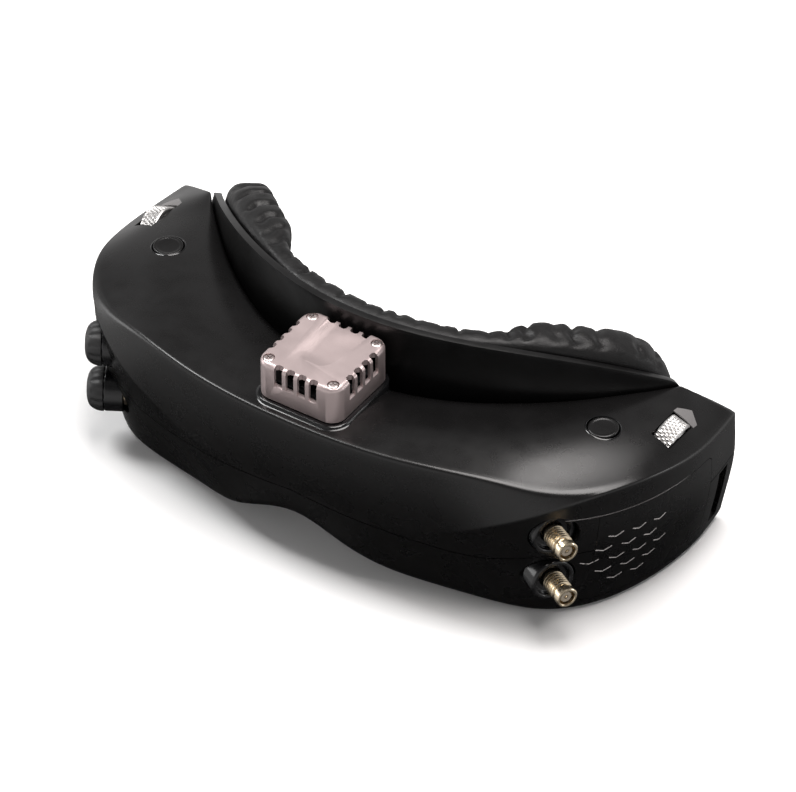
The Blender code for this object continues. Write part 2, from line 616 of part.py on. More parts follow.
TURNED_TO_AXLE = Matrix(((0, 0, 1), (0, 1, 0), (-1, 0, 0)))
ARM_AT, ARM_T, SLOT_PLAY = 4.2, 0.9, 0.45
for name, side in SIDES.items():
    origin = (side * WHEEL[0], WHEEL[1], WHEEL[2])
    axes = wheel_axes(side)
    slot = boxes(f"wheel_slot_{name}",
                 [((WHEEL_W + 2 * SLOT_PLAY, 13.8, 9), (0, 0, 6))], origin=origin, turn=axes)
    relief = prism(f"wheel_relief_{name}",
                   [(-4.2, -5.8), (0, -9.6), (4.2, -5.8), (4.2, 5.8), (0, 10.2), (-4.2, 5.8)],
                   5.0, 12, origin=origin, turn=axes)
    boolean(upper_shell, "DIFFERENCE", relief, slot)
    half = WHEEL_W / 2
    turned(f"jog_wheel_{name}",
           [(WHEEL_R - 0.5, half), (WHEEL_R, half - 0.5), (WHEEL_R, 0.5 - half),
            (WHEEL_R - 0.5, -half), (1.05, -half), (1.05, half)],
           KNURL, closed=True, steps=24, origin=origin, turn=axes @ TURNED_TO_AXLE)
    rods(f"wheel_pin_{name}", [(0.95, (-4.9, 0, 0), (4.9, 0, 0))], STEEL, sides=16,
         origin=origin, turn=axes)
    yoke = boxes(f"wheel_yoke_{name}", [((2 * ARM_AT + ARM_T, 5, 1.2), (0, 0, -8.9))],
                 INNER, origin=origin, turn=axes)
    arms = boxes(f"yoke_arms_{name}",
                 [((ARM_T, 4.8, 11), (sign * ARM_AT, 0, -3.6)) for sign in (-1, 1)],
                 origin=origin, turn=axes)
    pin_holes = rods(f"yoke_pin_holes_{name}", [(1.05, (-8, 0, 0), (8, 0, 0))], sides=16,
                     origin=origin, turn=axes)
    boolean(yoke, "UNION", arms)
    boolean(yoke, "DIFFERENCE", pin_holes)


# ---- face plate --------------------------------------------------------------------------
def plate_mesh(columns=30, rows=7):
    """The plate's front face as a grid, with nose relief and rounded tips."""
    bm = bmesh.new()
    grid = []
    for i in range(columns + 1):
        x = PLATE_END * math.sin(math.pi * (i / columns - 0.5) * 0.8) / math.sin(0.4 * math.pi)
        low, high = base_z(x), rim_z(x)
        grid.append([bm.verts.new(plate_point(x, low + (high - low) * j / rows))
                     for j in range(rows + 1)])
    for here, after in zip(grid, grid[1:]):
        for j in range(rows):
            bm.faces.new((here[j], after[j], after[j + 1], here[j + 1]))
    return mesh_of(bm, "face_plate")


face_plate = add_object("face_plate", plate_mesh(), PLATE)
plate_wall = face_plate.modifiers.new("wall", "SOLIDIFY")
plate_wall.thickness = PLATE_T * MM
plate_wall.offset = -1
EYE_HOLE_R = 15.6
stadium = []
for quarter in range(2):
    shift = IPD_TRAVEL if quarter == 0 else -IPD_TRAVEL
    for step in range(9):
        angle = -math.pi / 2 + math.pi * step / 8 + math.pi * quarter
        stadium.append((shift + EYE_HOLE_R * math.cos(angle), EYE_HOLE_R * math.sin(angle)))
for name, side in SIDES.items():
    eye_cut = prism(f"eye_cut_{name}", stadium, -70, -20, origin=(side * EYE_X, 0, EYE_Z),
                    turn=AXES_XZ)
    boolean(face_plate, "DIFFERENCE", eye_cut)


# ---- face pad ----------------------------------------------------------------------------
PAD_BAND = 12.5


def pad_path():
    """Points (x, z) along the middle of the pad: from one side of the nose, round, to the other."""
    half = PAD_BAND / 2 + 0.8
    right = []
    for x in (25.5, 31.0, 38.0, 47.0, 58.0, 66.5):
        right.append((x, base_z(x) + half))
    right += [(72.0, 0.5), (74.2, 11.5), (73.2, 22.0)]
    for x in (69.5, 62.0, 52.0, 40.0, 27.0, 13.5, 0.0):
        right.append((x, rim_z(x) - half))
    left = [(-x, z) for x, z in reversed(right[:-1])]
    return right + left


def pad_mesh():
    """A padded ring swept along the plate, open at the nose: front face on the plate."""
    bm = bmesh.new()
    path = [Vector(point) for point in pad_path()]
    rings = []
    for i, point in enumerate(path):
        along = (path[min(i + 1, len(path) - 1)] - path[max(i - 1, 0)]).normalized()
        across = Vector((along.y, -along.x))
        ring = []
        shape = ((-0.5, 0.0), (-0.5, 0.55), (-0.36, 0.9), (-0.1, 1.0), (0.15, 1.0), (0.4, 0.85),
                 (0.5, 0.5), (0.5, 0.0))
        for share, height in shape:
            x, z = point + across * share * PAD_BAND
            ring.append(bm.verts.new(plate_point(x, z, PLATE_T + GAP + height * FOAM_T)))
        rings.append(ring)
    for here, after in zip(rings, rings[1:]):
        for j in range(len(here)):
            k = (j + 1) % len(here)
            bm.faces.new((here[j], after[j], after[k], here[k]))
    bm.faces.new(rings[0])
    bm.faces.new(rings[-1][::-1])
    bmesh.ops.recalc_face_normals(bm, faces=bm.faces)
    return mesh_of(bm, "face_foam")


add_object("face_foam", pad_mesh(), FOAM)


# ---- optics: carriage, display, focus ring, barrel and lens for each eye ------------------
SLIDE_X = 48.0
for name, side in SIDES.items():
    eye = (side * EYE_X, 0, EYE_Z)
    place = {"origin": eye, "turn": REAR_AXIS}
    turned(f"eye_carriage_{name}",
           [(0, 14.3), (12.5, 14.3), (12.5, 31.0), (14.6, 31.0), (14.6, 13.0), (0, 13.0)],
           INNER, steps=20, **place)
    boxes(f"display_{name}", [((15, 2, 11.5), (side * EYE_X, 15.7, EYE_Z))], SCREEN)
    turned(f"lens_barrel_{name}",
           [(10.9, 41.5), (12.1, 41.5), (12.1, 21.0), (10.9, 21.0), (10.9, 34.0), (9.6, 34.0),
            (9.6, 35.0), (10.9, 35.0)],
           INNER, closed=True, steps=20, **place)
    bulge = [(10.6 * math.cos(a), 38.2 + 2.6 * math.sin(a)) for a in
             (math.pi / 2 * (1 - i / 4) for i in range(5))]
    turned(f"lens_{name}", bulge + [(r, 76.4 - h) for r, h in reversed(bulge[:-1])], GLASS,
           steps=18, **place)
    turned(f"focus_ring_{name}",
           [(13.9, 36.2), (14.3, 35.8), (14.3, 32.0), (13.9, 31.6), (12.4, 31.6), (12.4, 36.2)],
           RUBBER, closed=True, steps=20, **place)
    x = side * SLIDE_X
    knob_cut = boxes(f"slide_slot_{name}", [((4.4 + 2 * IPD_TRAVEL + 0.6, 5.0, 6), (x, 24, -10.7))])
    boolean(lower_shell, "DIFFERENCE", knob_cut)
    slide = boxes(f"eye_slide_{name}", [((4.4, 4.4, 14.4), (x, 24, -4.2))], RUBBER)
    bracket = boxes(f"slide_bracket_{name}",
                    [((6.3, 4.0, 2.4), (x - side * 0.95, 24, 3.8))])
    boolean(slide, "UNION", bracket)

optics_frame = boxes("optics_frame", [((90, 1.2, 23), (0, 11.9, EYE_Z + 1))], INNER)
windows = boxes("optics_windows", [((21, 6, 15), (-EYE_X, 11.9, EYE_Z)),
                                   ((21, 6, 15), (EYE_X, 11.9, EYE_Z)),
                                   ((34, 6, 12), (0, 11.9, 7.5))])
boolean(optics_frame, "DIFFERENCE", windows)


# ---- boards ------------------------------------------------------------------------------
BOARD_HALF = 51.0
board_x = [BOARD_HALF * (i / 6 - 1) for i in range(13)]
board_outline = [(x, 2.5 + 0.0036 * x**2) for x in board_x]
board_outline += [(x, wall_y(x) - 9.0) for x in reversed(board_x)]
prism("main_board", board_outline, 33.3, 34.9, BOARD)
for name, side in SIDES.items():
    along = Vector((side * math.sin(JACK_TURN), math.cos(JACK_TURN), 0))
    centre = Vector((side * JACK[0], JACK[1], 15)) - 8.2 * jack_axis(side) + 5 * along
    boxes(f"receiver_board_{name}", [((1.2, 12, 30), centre,
                                      Matrix.Rotation(-side * JACK_TURN, 3, "Z"))], BOARD)


# ---- sockets on the underside ------------------------------------------------------------
def socket(name, size, centre, opening, look):
    """A sheet-metal socket: a box with its mouth downwards."""
    x, y = centre
    width, depth, height = size
    obj = boxes(name, [((width, depth, height), (x, y, FLOOR_Z + GAP + height / 2))], look)
    mouth = boxes(f"{name}_mouth", [((*opening, 2 * height - 3), (x, y, FLOOR_Z))])
    boolean(obj, "DIFFERENCE", mouth)
    hole = boxes(f"{name}_hole", [((width + 0.7, depth + 0.7, 8), (x, y, FLOOR_Z))])
    boolean(lower_shell, "DIFFERENCE", hole)


socket("usb_socket", (9.0, 3.3, 7.5), (-66.0, 35.0), (8.2, 2.5), STEEL)
socket("video_socket", (11.4, 3.6, 8.0), (-67.0, 43.0), (10.4, 2.7), STEEL)
for name, (x, y), hole_r in (("power_socket", (-78.5, 46.5), 2.75),
                             ("audio_socket", (-81.0, 57.0), 1.8)):
    turned(name, [(0, -2.0), (3.9, -2.0), (3.9, FLOOR_Z + GAP), (hole_r, FLOOR_Z + GAP),
                  (hole_r, -3.4), (0, -3.4)], INNER, steps=16, origin=(x, y, 0))
    boolean(lower_shell, "DIFFERENCE",
            rods(f"{name}_hole", [(4.25, (x, y, FLOOR_Z - 2), (x, y, FLOOR_Z + 4))], sides=16))


# ---- screws that hold the two shells together --------------------------------------------
for name, side in SIDES.items():
    for place, (x, y) in zip(("inner", "outer"), SHELL_SCREWS):
        x *= side
        label = f"{place}_{name}"
        column = rods(f"column_{label}", [(3.0, (x, y, -1.0), (x, y, top_z(x, y) - 1.1))])
        pilot = rods(f"pilot_{label}", [(1.2, (x, y, -3), (x, y, 7))], sides=10)
        boolean(upper_shell, "UNION", column)
        boolean(upper_shell, "DIFFERENCE", pilot)
        boss = rods(f"boss_{label}", [(3.0, (x, y, FLOOR_Z + 0.6), (x, y, -1.5))])
        bore = rods(f"bore_{label}", [(1.4, (x, y, -16), (x, y, 1))], sides=10)
        sunk = rods(f"sunk_{label}", [(2.5, (x, y, -16), (x, y, FLOOR_Z + 1.7))], sides=12)
        boolean(lower_shell, "UNION", boss)
        boolean(lower_shell, "DIFFERENCE", bore, sunk)
        turned(f"shell_screw_{label}",
               [(0, 6.2), (1.05, 6.2), (1.05, FLOOR_Z + 1.5), (2.2, FLOOR_Z + 1.5),
                (2.2, FLOOR_Z + 0.3), (0, FLOOR_Z + 0.3)],
               STEEL, steps=10, origin=(x, y, 0))
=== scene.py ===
"""FPV goggles: the visual model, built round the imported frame.

Shapes are worked out in the design frame of the CAD, in millimetres: x to the wearer's left, y to
the rear, z up. OFFSET, read from the frame, and MM take them to the world.
"""
import json
import math
import random

import bmesh
import bpy
import numpy as np
from mathutils import Matrix, Vector, noise
from mathutils.bvhtree import BVHTree

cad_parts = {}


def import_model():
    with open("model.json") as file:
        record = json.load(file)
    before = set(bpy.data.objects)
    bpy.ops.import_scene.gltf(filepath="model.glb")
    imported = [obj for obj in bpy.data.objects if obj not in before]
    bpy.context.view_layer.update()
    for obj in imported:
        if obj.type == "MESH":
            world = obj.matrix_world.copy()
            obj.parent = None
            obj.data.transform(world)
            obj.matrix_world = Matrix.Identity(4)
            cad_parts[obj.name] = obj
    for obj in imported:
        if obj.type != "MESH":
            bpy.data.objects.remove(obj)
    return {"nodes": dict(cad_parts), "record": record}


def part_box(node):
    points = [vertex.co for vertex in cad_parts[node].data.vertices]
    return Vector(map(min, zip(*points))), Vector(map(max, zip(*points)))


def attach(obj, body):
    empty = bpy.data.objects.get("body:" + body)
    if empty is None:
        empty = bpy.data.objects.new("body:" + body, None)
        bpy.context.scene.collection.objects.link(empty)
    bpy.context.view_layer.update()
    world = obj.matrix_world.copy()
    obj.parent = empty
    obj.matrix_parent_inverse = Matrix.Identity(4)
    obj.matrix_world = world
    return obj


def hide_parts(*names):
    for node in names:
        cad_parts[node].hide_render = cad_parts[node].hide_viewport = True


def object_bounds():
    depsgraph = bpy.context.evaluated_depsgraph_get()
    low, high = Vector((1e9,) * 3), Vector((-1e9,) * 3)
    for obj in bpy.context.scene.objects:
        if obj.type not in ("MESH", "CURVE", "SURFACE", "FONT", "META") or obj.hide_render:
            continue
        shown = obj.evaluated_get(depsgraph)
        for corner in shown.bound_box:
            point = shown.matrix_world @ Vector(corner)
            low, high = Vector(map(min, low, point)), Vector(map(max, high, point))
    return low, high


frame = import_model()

cad_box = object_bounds()

MM = 0.001
SIDES = {"left": 1, "right": -1}

# ---- driving dimensions of the design frame (mm) -----------------------------------------
FLOOR_Z = -11.8
FAN_Y = 15.5
WALL, GAP = 2.2, 0.3
EYE_X, EYE_Z = 32.0, 14.0
IPD_TRAVEL = 4.0
BLOCK_HALF, BLOCK_R = 13.75, 4.5
BLOCK_Z0, BLOCK_Z1 = 42.1, 54.4
SCREW_AT = 10.8
BUTTON = (73.6, 45.2, 39.7)
WHEEL = (85.7, 59.4, 30.0)
WHEEL_TILT = math.radians(19)
WHEEL_R, WHEEL_W = 7.4, 5.8
JACK = (75.5, 16.5)
JACK_Z = (22.4, 5.7)
JACK_TURN = math.radians(30)
THREAD_R = 3.175
SHELL_SCREWS = ((57.0, 42.0), (84.0, 70.8))

block_low, block_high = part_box("fan_cover")
OFFSET = Vector((0, (block_low.y + block_high.y) / 2 / MM - FAN_Y,
                 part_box("lower_shell")[0].z / MM - FLOOR_Z))
DESIGN = Matrix.Scale(MM, 4) @ Matrix.Translation(OFFSET)


def world(point):
    return DESIGN @ Vector(point)


# ---- rails of the body, from the centre to the ear ---------------------------------------
SHOULDER = [(0, 25, 38.6), (15.5, 26.6, 38.6), (30.5, 31.6, 38.6), (43, 38.8, 38.4), (56, 48.6, 38),
            (65, 57.4, 37.6), (71.5, 64.6, 37.2), (75.5, 69, 36.9), (78, 72.3, 36.7),
            (79.4, 74.4, 36.5), (80.2, 75.7, 36.3)]
CROWN = [(0, 12, 40.9), (16, 13, 41.0), (31, 16.5, 41.2), (45, 22, 41.3), (58, 29, 40.9),
         (69, 37.5, 40.3), (77, 45.5, 39.2), (83, 53.5, 37.6), (86.2, 61.5, 36.2), (87.4, 70, 34.6),
         (87.2, 79.4, 32.7)]
CREASE = [(0, -2.2, 40.6), (16, -1.8, 40.7), (32, 0, 40.9), (46, 3.4, 40.8), (60, 8.4, 39.8),
          (71.5, 13.8, 37.2), (82, 22, 36.4), (90.2, 36, 35.8), (93.4, 51, 33.2), (94.2, 65, 31),
          (93, 82, 29.6)]
FACET = [(0, -1, 16), (16, -0.6, 15.2), (31, 1.2, 14.2), (46, 4.2, 17), (60, 5.6, 24.6),
         (72.5, 10.8, 30.8), (84, 21.5, 35.2), (92, 36, 35.2), (95.2, 51.5, 32), (95.8, 65.5, 29.7),
         (94.2, 82.6, 28.6)]
BELLY = [(0, -0.4, 10.5), (16, 0.2, 8), (30, 3, 5.5), (44, 7, 5), (59, 10, 8), (73, 15, 11),
         (84, 25, 12), (91, 39, 12), (94.6, 54, 12), (95.6, 67, 12), (94, 83, 12)]
KEEL = [(0, 0.6, 5.8), (15.9, 0.8, 0), (27, 6, -7), (41, 12.5, -11.5), (57, 15.5, FLOOR_Z),
        (70, 19.5, FLOOR_Z), (80, 29, FLOOR_Z), (86.5, 42.5, FLOOR_Z), (90, 57, FLOOR_Z),
        (91, 70, FLOOR_Z), (90, 82.6, -11)]
VALLEY_XZ = [(0, 31.5), (16, 31.5), (32, 31.5), (46, 31.6), (60, 31.8), (69, 32), (74.5, 32.3),
             (77.5, 32.6), (79.2, 32.9), (80.2, 33.2), (81, 33.4)]
HEEL_X = [0, 14.5, 24, 38, 52, 63, 71, 75.5, 78.5, 80.2, 81]
LAST = len(CROWN) - 1
SEAM_XZ = [(0, 15), (29, 12.4), (48, 9.8), (58, 10.1), (74, 14), (110, 14)]
COVER_YZ = [(25, 27.1), (35, 26.3), (47, 25.3), (66, 24), (67.5, 22.7), (67.5, -6.5),
            (66, -8), (26.5, -8), (25, -6.5)]

RIM_TOP = 58.0
PLATE_END = 82.0
PLATE_JOIN_Z = 31.5
PLATE_T = 2.0
PLATE_GAP = 0.35
LEAN = 1.6


# ---- materials ---------------------------------------------------------------------------
def add_node(tree, kind, *wires, **values):
    """A node with its input values set, and wired from (output, input name) pairs."""
    node = tree.nodes.new(f"ShaderNode{kind}")
    for label, value in values.items():
        node.inputs[label.replace("_", " ")].default_value = value
    for output, label in wires:
        tree.links.new(output, node.inputs[label])
    return node


def surface(name, color, roughness, metallic=0.0, coat=0.0, specular=0.5, spread=0.15,
            rough_spread=0.06, grain=900.0, bump=0.1, bump_mm=0.03, transmission=None,
            leather=False, patch=60.0):
    """A Principled material with colour drift, uneven roughness and a fine surface grain."""
    made = bpy.data.materials.new(name)
    made.use_nodes = True
    tree = made.node_tree
    shader = tree.nodes["Principled BSDF"]
    shader.inputs["Metallic"].default_value = metallic
    shader.inputs["Coat Weight"].default_value = coat
    shader.inputs["Coat Roughness"].default_value = 0.1
    shader.inputs["Specular IOR Level"].default_value = specular
    if transmission is not None:
        shader.inputs["Transmission Weight"].default_value = transmission
    place = tree.nodes.new("ShaderNodeTexCoord").outputs["Object"]

    drift = add_node(tree, "TexNoise", (place, "Vector"), Scale=patch, Detail=5)
    ramp = add_node(tree, "ValToRGB", (drift.outputs["Fac"], "Fac"))
    for stop, position, way in zip(ramp.color_ramp.elements, (0.3, 0.7), (-1, 1)):
        stop.position = position
        stop.color = (*[min(c * (1 + way * spread), 1) for c in color], 1)
    tree.links.new(ramp.outputs["Color"], shader.inputs["Base Color"])

    smear = add_node(tree, "TexNoise", (place, "Vector"), Scale=patch * 3.1, Detail=4)
    uneven = add_node(tree, "MapRange", (smear.outputs["Fac"], "Value"), From_Min=0.3,
                      From_Max=0.7, To_Min=max(roughness - rough_spread, 0.02),
                      To_Max=min(roughness + rough_spread, 1))
    tree.links.new(uneven.outputs["Result"], shader.inputs["Roughness"])

    if leather:
        warp = add_node(tree, "TexNoise", (place, "Vector"), Scale=grain * 0.7)
        mix = tree.nodes.new("ShaderNodeMix")
        mix.data_type = "VECTOR"
        mix.inputs["Factor"].default_value = 0.002
        tree.links.new(place, mix.inputs["A"])
        tree.links.new(warp.outputs["Color"], mix.inputs["B"])
        cells = add_node(tree, "TexVoronoi", (mix.outputs["Result"], "Vector"), Scale=grain)
        cells.feature = "DISTANCE_TO_EDGE"
        height = cells.outputs["Distance"]
    else:
        height = add_node(tree, "TexNoise", (place, "Vector"), Scale=grain,
                          Detail=6).outputs["Fac"]
    relief = add_node(tree, "Bump", (height, "Height"), Strength=bump, Distance=bump_mm * MM)
    tree.links.new(relief.outputs["Normal"], shader.inputs["Normal"])
    return made


SHELL = surface("satin_black_plastic", (0.0035, 0.0033, 0.0034), 0.28, specular=0.45, grain=2600,
                bump=0.12, bump_mm=0.01, patch=45, rough_spread=0.03)
PLATE = surface("fine_black_plastic", (0.003, 0.0029, 0.003), 0.33, specular=0.4, grain=3200,
                bump=0.3, bump_mm=0.012, patch=50, rough_spread=0.04)
FOAM = surface("black_leatherette", (0.0045, 0.0043, 0.0045), 0.46, specular=0.28, grain=900,
               bump=0.55, bump_mm=0.12, leather=True, patch=90, rough_spread=0.1)
BLOCK = surface("champagne_metal", (0.52, 0.43, 0.425), 0.4, metallic=0.8, grain=4200, bump=0.35,
                bump_mm=0.02, patch=35, spread=0.05, rough_spread=0.04)
# near black on the inner faces of the metal fan cover: painted shade seen through the slots
BLOCK_PAINTED_SHADE = surface("louvre_inside_painted_shade", (0.008, 0.006, 0.006), 0.6, specular=0.2, grain=3000)
STEEL = surface("bright_steel", (0.5, 0.44, 0.43), 0.4, metallic=1.0, grain=2500, bump=0.2,
                bump_mm=0.01, rough_spread=0.08, patch=300)
KNURL = surface("silver_knurled_metal", (0.6, 0.59, 0.58), 0.42, metallic=1.0, grain=3000,
                bump=0.2, bump_mm=0.01, patch=250, rough_spread=0.07)
GOLD = surface("gold_plating", (0.8, 0.68, 0.5), 0.24, metallic=1.0, grain=3500, bump=0.2,
               bump_mm=0.008, patch=220, rough_spread=0.07, spread=0.08)
DIELECTRIC = surface("cream_insulator", (0.2, 0.17, 0.13), 0.45, grain=2000)
RUBBER = surface("black_rubber", (0.011, 0.011, 0.0115), 0.5, specular=0.5, grain=3000, bump=0.4,
                 bump_mm=0.02, patch=120)
INNER = surface("moulded_inner_plastic", (0.013, 0.013, 0.014), 0.45, grain=2500, bump=0.3,
                bump_mm=0.015)
GLOSS = surface("gloss_black_trim", (0.005, 0.005, 0.0055), 0.16, specular=0.5, grain=1500,
                bump=0.04, bump_mm=0.005, rough_spread=0.03)
BOARD = surface("circuit_board", (0.012, 0.09, 0.045), 0.4, grain=700, bump=0.5, bump_mm=0.05,
                spread=0.5, patch=500)
SINK = surface("anodised_fins", (0.22, 0.21, 0.22), 0.36, metallic=0.9, grain=2500, bump=0.3,
               bump_mm=0.01)
SCREEN = surface("display_glass", (0.01, 0.014, 0.022), 0.08, specular=0.6, coat=1.0, grain=600,
                 bump=0.02, bump_mm=0.004, rough_spread=0.02)
LENS = surface("coated_lens_glass", (0.86, 0.9, 0.94), 0.03, specular=0.6, coat=0.6, grain=500,
               bump=0.01, bump_mm=0.002, rough_spread=0.01, transmission=0.92)
MARKS = surface("side_pattern_lacquer", (0.3, 0.285, 0.28), 0.35, grain=2500)
# lighter than the shell: a painted highlight laid along the side cover's seam
PAINTED_SEAM_HIGHLIGHT = surface("side_trim_bead", (0.06, 0.055, 0.055), 0.22, specular=0.6, grain=2500)
# lighter grey than the shell: a painted highlight standing for the lit finger relief behind each
# wheel
PAINTED_RECESS_HIGHLIGHT = surface("wheel_index_plate", (0.13, 0.125, 0.125), 0.45, metallic=0.0, grain=2800, bump=0.25,
                bump_mm=0.01)

LOOKS = {"shell": SHELL, "plate": PLATE, "foam": FOAM, "block": BLOCK, "steel": STEEL,
         "wheel": KNURL, "gold": GOLD, "rubber": RUBBER, "lens": LENS, "board": BOARD,
         "sink": SINK, "inner": INNER, "screen": SCREEN}
NODE_SLOT = {entry["node"]: entry["material_slot"] for entry in frame["record"]["subparts"]}
for node_name, node in frame["nodes"].items():
    node.data.materials.clear()
    node.data.materials.append(LOOKS[NODE_SLOT[node_name]])


# ---- mesh helpers ------------------------------------------------------------------------
def new_object(name, data, look=None):
    obj = bpy.data.objects.new(name, data)
    bpy.context.scene.collection.objects.link(obj)
    if look:
        data.materials.append(look)
    return obj


def join_rings(bm, rings, closed=False):
    """Bridges loops of vertices with faces; closed joins the last to the first as well."""
    for here, after in list(zip(rings, rings[1:])) + ([(rings[-1], rings[0])] if closed else []):
        for i in range(len(here)):
            j = (i + 1) % len(here)
            bm.faces.new((here[i], here[j], after[j], after[i]))


def mesh_from(bm, name, smooth=32):
    """Takes a bmesh in design millimetres to a mesh in the world, smooth below an angle."""
    bm.transform(DESIGN)
    mesh = bpy.data.meshes.new(name)
    bm.to_mesh(mesh)
    bm.free()
    mesh.shade_smooth()
    mesh.set_sharp_from_angle(angle=math.radians(smooth))
    return mesh


def helper(name, bm, smooth=32):
    """An object that only cuts or is copied from."""
    obj = new_object(name, mesh_from(bm, name, smooth))
    obj.hide_render = True
    return obj


def piece(name, bm, look, body, node=None, smooth=32, slot=None):
    """A shown piece that rides on a body, and stands for a node if one is named."""
    obj = new_object(name, mesh_from(bm, name, smooth), look)
    settle(obj, body, node, slot)
    return obj


def settle(obj, body, node=None, slot=None):
    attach(obj, body)
    if node:
        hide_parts(node)
        slot = slot or NODE_SLOT[node]


def applied(obj, *cutters):
    """Cuts each object out of obj, or keeps what a cutter marked "inside" holds, and drops them."""
    for other in cutters:
        cut = obj.modifiers.new("cut", "BOOLEAN")
        cut.operation = "INTERSECT" if other.get("inside") else "DIFFERENCE"
        cut.object = other
        cut.solver = "EXACT"
        if other.data.materials:
            cut.material_mode = "TRANSFER"
    bake(obj)
    for other in cutters:
        if not other.get("keep"):
            bpy.data.objects.remove(other, do_unlink=True)
    return obj


def bake(obj):
    graph = bpy.context.evaluated_depsgraph_get()
    graph.update()
    mesh = bpy.data.meshes.new_from_object(obj.evaluated_get(graph))
    obj.modifiers.clear()
    obj.data = mesh
    return obj


def add_box(bm, size, centre, turn=None):
    rotation = turn.to_4x4() if turn is not None else Matrix.Identity(4)
    matrix = Matrix.Translation(centre) @ rotation @ Matrix.Diagonal((*size, 1))
    return bmesh.ops.create_cube(bm, size=1, matrix=matrix)["verts"]


def add_rod(bm, radius, start, end, sides=32, tip=None):
    start, end = Vector(start), Vector(end)
    turn = (end - start).to_track_quat("Z", "Y").to_matrix().to_4x4()
    bmesh.ops.create_cone(bm, cap_ends=True, segments=sides, radius1=radius,
                          radius2=radius if tip is None else tip, depth=(end - start).length,
                          matrix=Matrix.Translation((start + end) / 2) @ turn)


def add_prism(bm, outline, low, high, turn=None, origin=(0, 0, 0), taper=None):
    """An outline (u, v) run along local Z from low to high; taper moves the top loop inwards."""
    matrix = Matrix.Translation(origin) @ (turn.to_4x4() if turn is not None else Matrix.Identity(4))
    bottom = [bm.verts.new(matrix @ Vector((u, v, low))) for u, v in outline]
    top = [bm.verts.new(matrix @ Vector((u, v, high))) for u, v in (taper or outline)]
    count = len(outline)
    faces = [bm.faces.new(bottom[::-1]), bm.faces.new(top)]
    for i in range(count):
        j = (i + 1) % count
        faces.append(bm.faces.new((bottom[i], bottom[j], top[j], top[i])))
    bmesh.ops.recalc_face_normals(bm, faces=faces)


def add_turned(bm, profile, steps=64, matrix=None, radius_at=None):
    """Revolves (radius, height) about Z. Ends on the axis are closed with a fan.

    radius_at(radius, height, angle) may reshape the radius, for ribs and knurls.
    """
    matrix = matrix or Matrix.Identity(4)
    rings = []
    for radius, height in profile:
        if radius < 1e-6:
            rings.append([bm.verts.new(matrix @ Vector((0, 0, height)))])
            continue
        ring = []
        for i in range(steps):
            angle = 2 * math.pi * i / steps
            r = radius_at(radius, height, angle) if radius_at else radius
            spot = Vector((r * math.cos(angle), r * math.sin(angle), height))
            ring.append(bm.verts.new(matrix @ spot))
        rings.append(ring)
    faces = []
    closed = len(rings[0]) > 1 and len(rings[-1]) > 1
    pairs = list(zip(rings, rings[1:])) + ([(rings[-1], rings[0])] if closed else [])
    for here, after in pairs:
        for i in range(steps):
            j = (i + 1) % steps
            corners = [here[i % len(here)], here[j % len(here)], after[j % len(after)],
                       after[i % len(after)]]
            unique = list(dict.fromkeys(corners))
            if len(unique) > 2:
                faces.append(bm.faces.new(unique))
    bmesh.ops.recalc_face_normals(bm, faces=faces)


def rounded_square(half, radius, corner_points=8):
    outline = []
    for quarter in range(4):
        for step in range(corner_points):
            angle = math.pi / 2 * step / (corner_points - 1)
            point = Vector((half - radius + radius * math.cos(angle),
                            half - radius + radius * math.sin(angle)))
            outline.append(tuple(Matrix.Rotation(quarter * math.pi / 2, 2) @ point))
    return outline


def fillet_profile(corners, radii, steps=4):
    """Rounds the corners of an open profile; the ends stay."""
    rounded = [corners[0]]
    for i in range(1, len(corners) - 1):
        before, here, after = (Vector(corners[i - 1]), Vector(corners[i]), Vector(corners[i + 1]))
        reach = min(radii[i], (before - here).length * 0.49, (after - here).length * 0.49)
        if reach < 1e-4:
            rounded.append(tuple(here))
            continue
        start = here + (before - here).normalized() * reach
        end = here + (after - here).normalized() * reach
        for step in range(steps + 1):
            u = step / steps
            rounded.append(tuple((1 - u) ** 2 * start + 2 * u * (1 - u) * here + u * u * end))
    rounded.append(corners[-1])
    return rounded


def mirrored(matrix, side):
    if side > 0:
        return matrix
    flip = Matrix.Diagonal((-1, 1, 1))
    return flip @ matrix @ flip


AXES_XZ = Matrix(((1, 0, 0), (0, 0, -1), (0, 1, 0)))
AXES_YZ = Matrix(((0, 0, 1), (1, 0, 0), (0, 1, 0)))
REAR_AXIS = Matrix(((1, 0, 0), (0, 0, 1), (0, -1, 0)))


def smooth_step(value):
    value = min(max(value, 0.0), 1.0)
    return value * value * (3 - 2 * value)


# ---- the plate's and the body's surfaces -------------------------------------------------
def wall_y(x):
    return 31.5 + 0.0062 * x**2 + 1.2e-7 * x**4


def rim_curve(x):
    return RIM_TOP - 0.0012 * x**2 - 3.5e-7 * x**4


def rim_z(x):
    return rim_curve(x) - 5.0 * smooth_step((abs(x) - 77) / (PLATE_END - 77)) ** 2


def base_z(x):
    relief = 21.3 * (1 - smooth_step((abs(x) - 6) / 22))
    return FLOOR_Z + relief + 4.0 * smooth_step((abs(x) - 76) / (PLATE_END - 76)) ** 2


def wall_slope(x):
    return 0.0124 * x + 4.8e-7 * x**3


def plate_point(x, z, behind=0.0):
    share = max(z - PLATE_JOIN_Z, 0) / (rim_curve(x) - PLATE_JOIN_Z)
    y = wall_y(x) - LEAN * (1 - (x / 60) ** 2) * share
    slope = wall_slope(x)
    length = math.hypot(slope, 1)
    return Vector((x - behind * slope / length, y + behind / length, z))


VALLEY = [(x, wall_y(x) - PLATE_GAP, z) for x, z in VALLEY_XZ]
HEEL = [(x, wall_y(x) - PLATE_GAP, max(base_z(x), FLOOR_Z)) for x in HEEL_X]


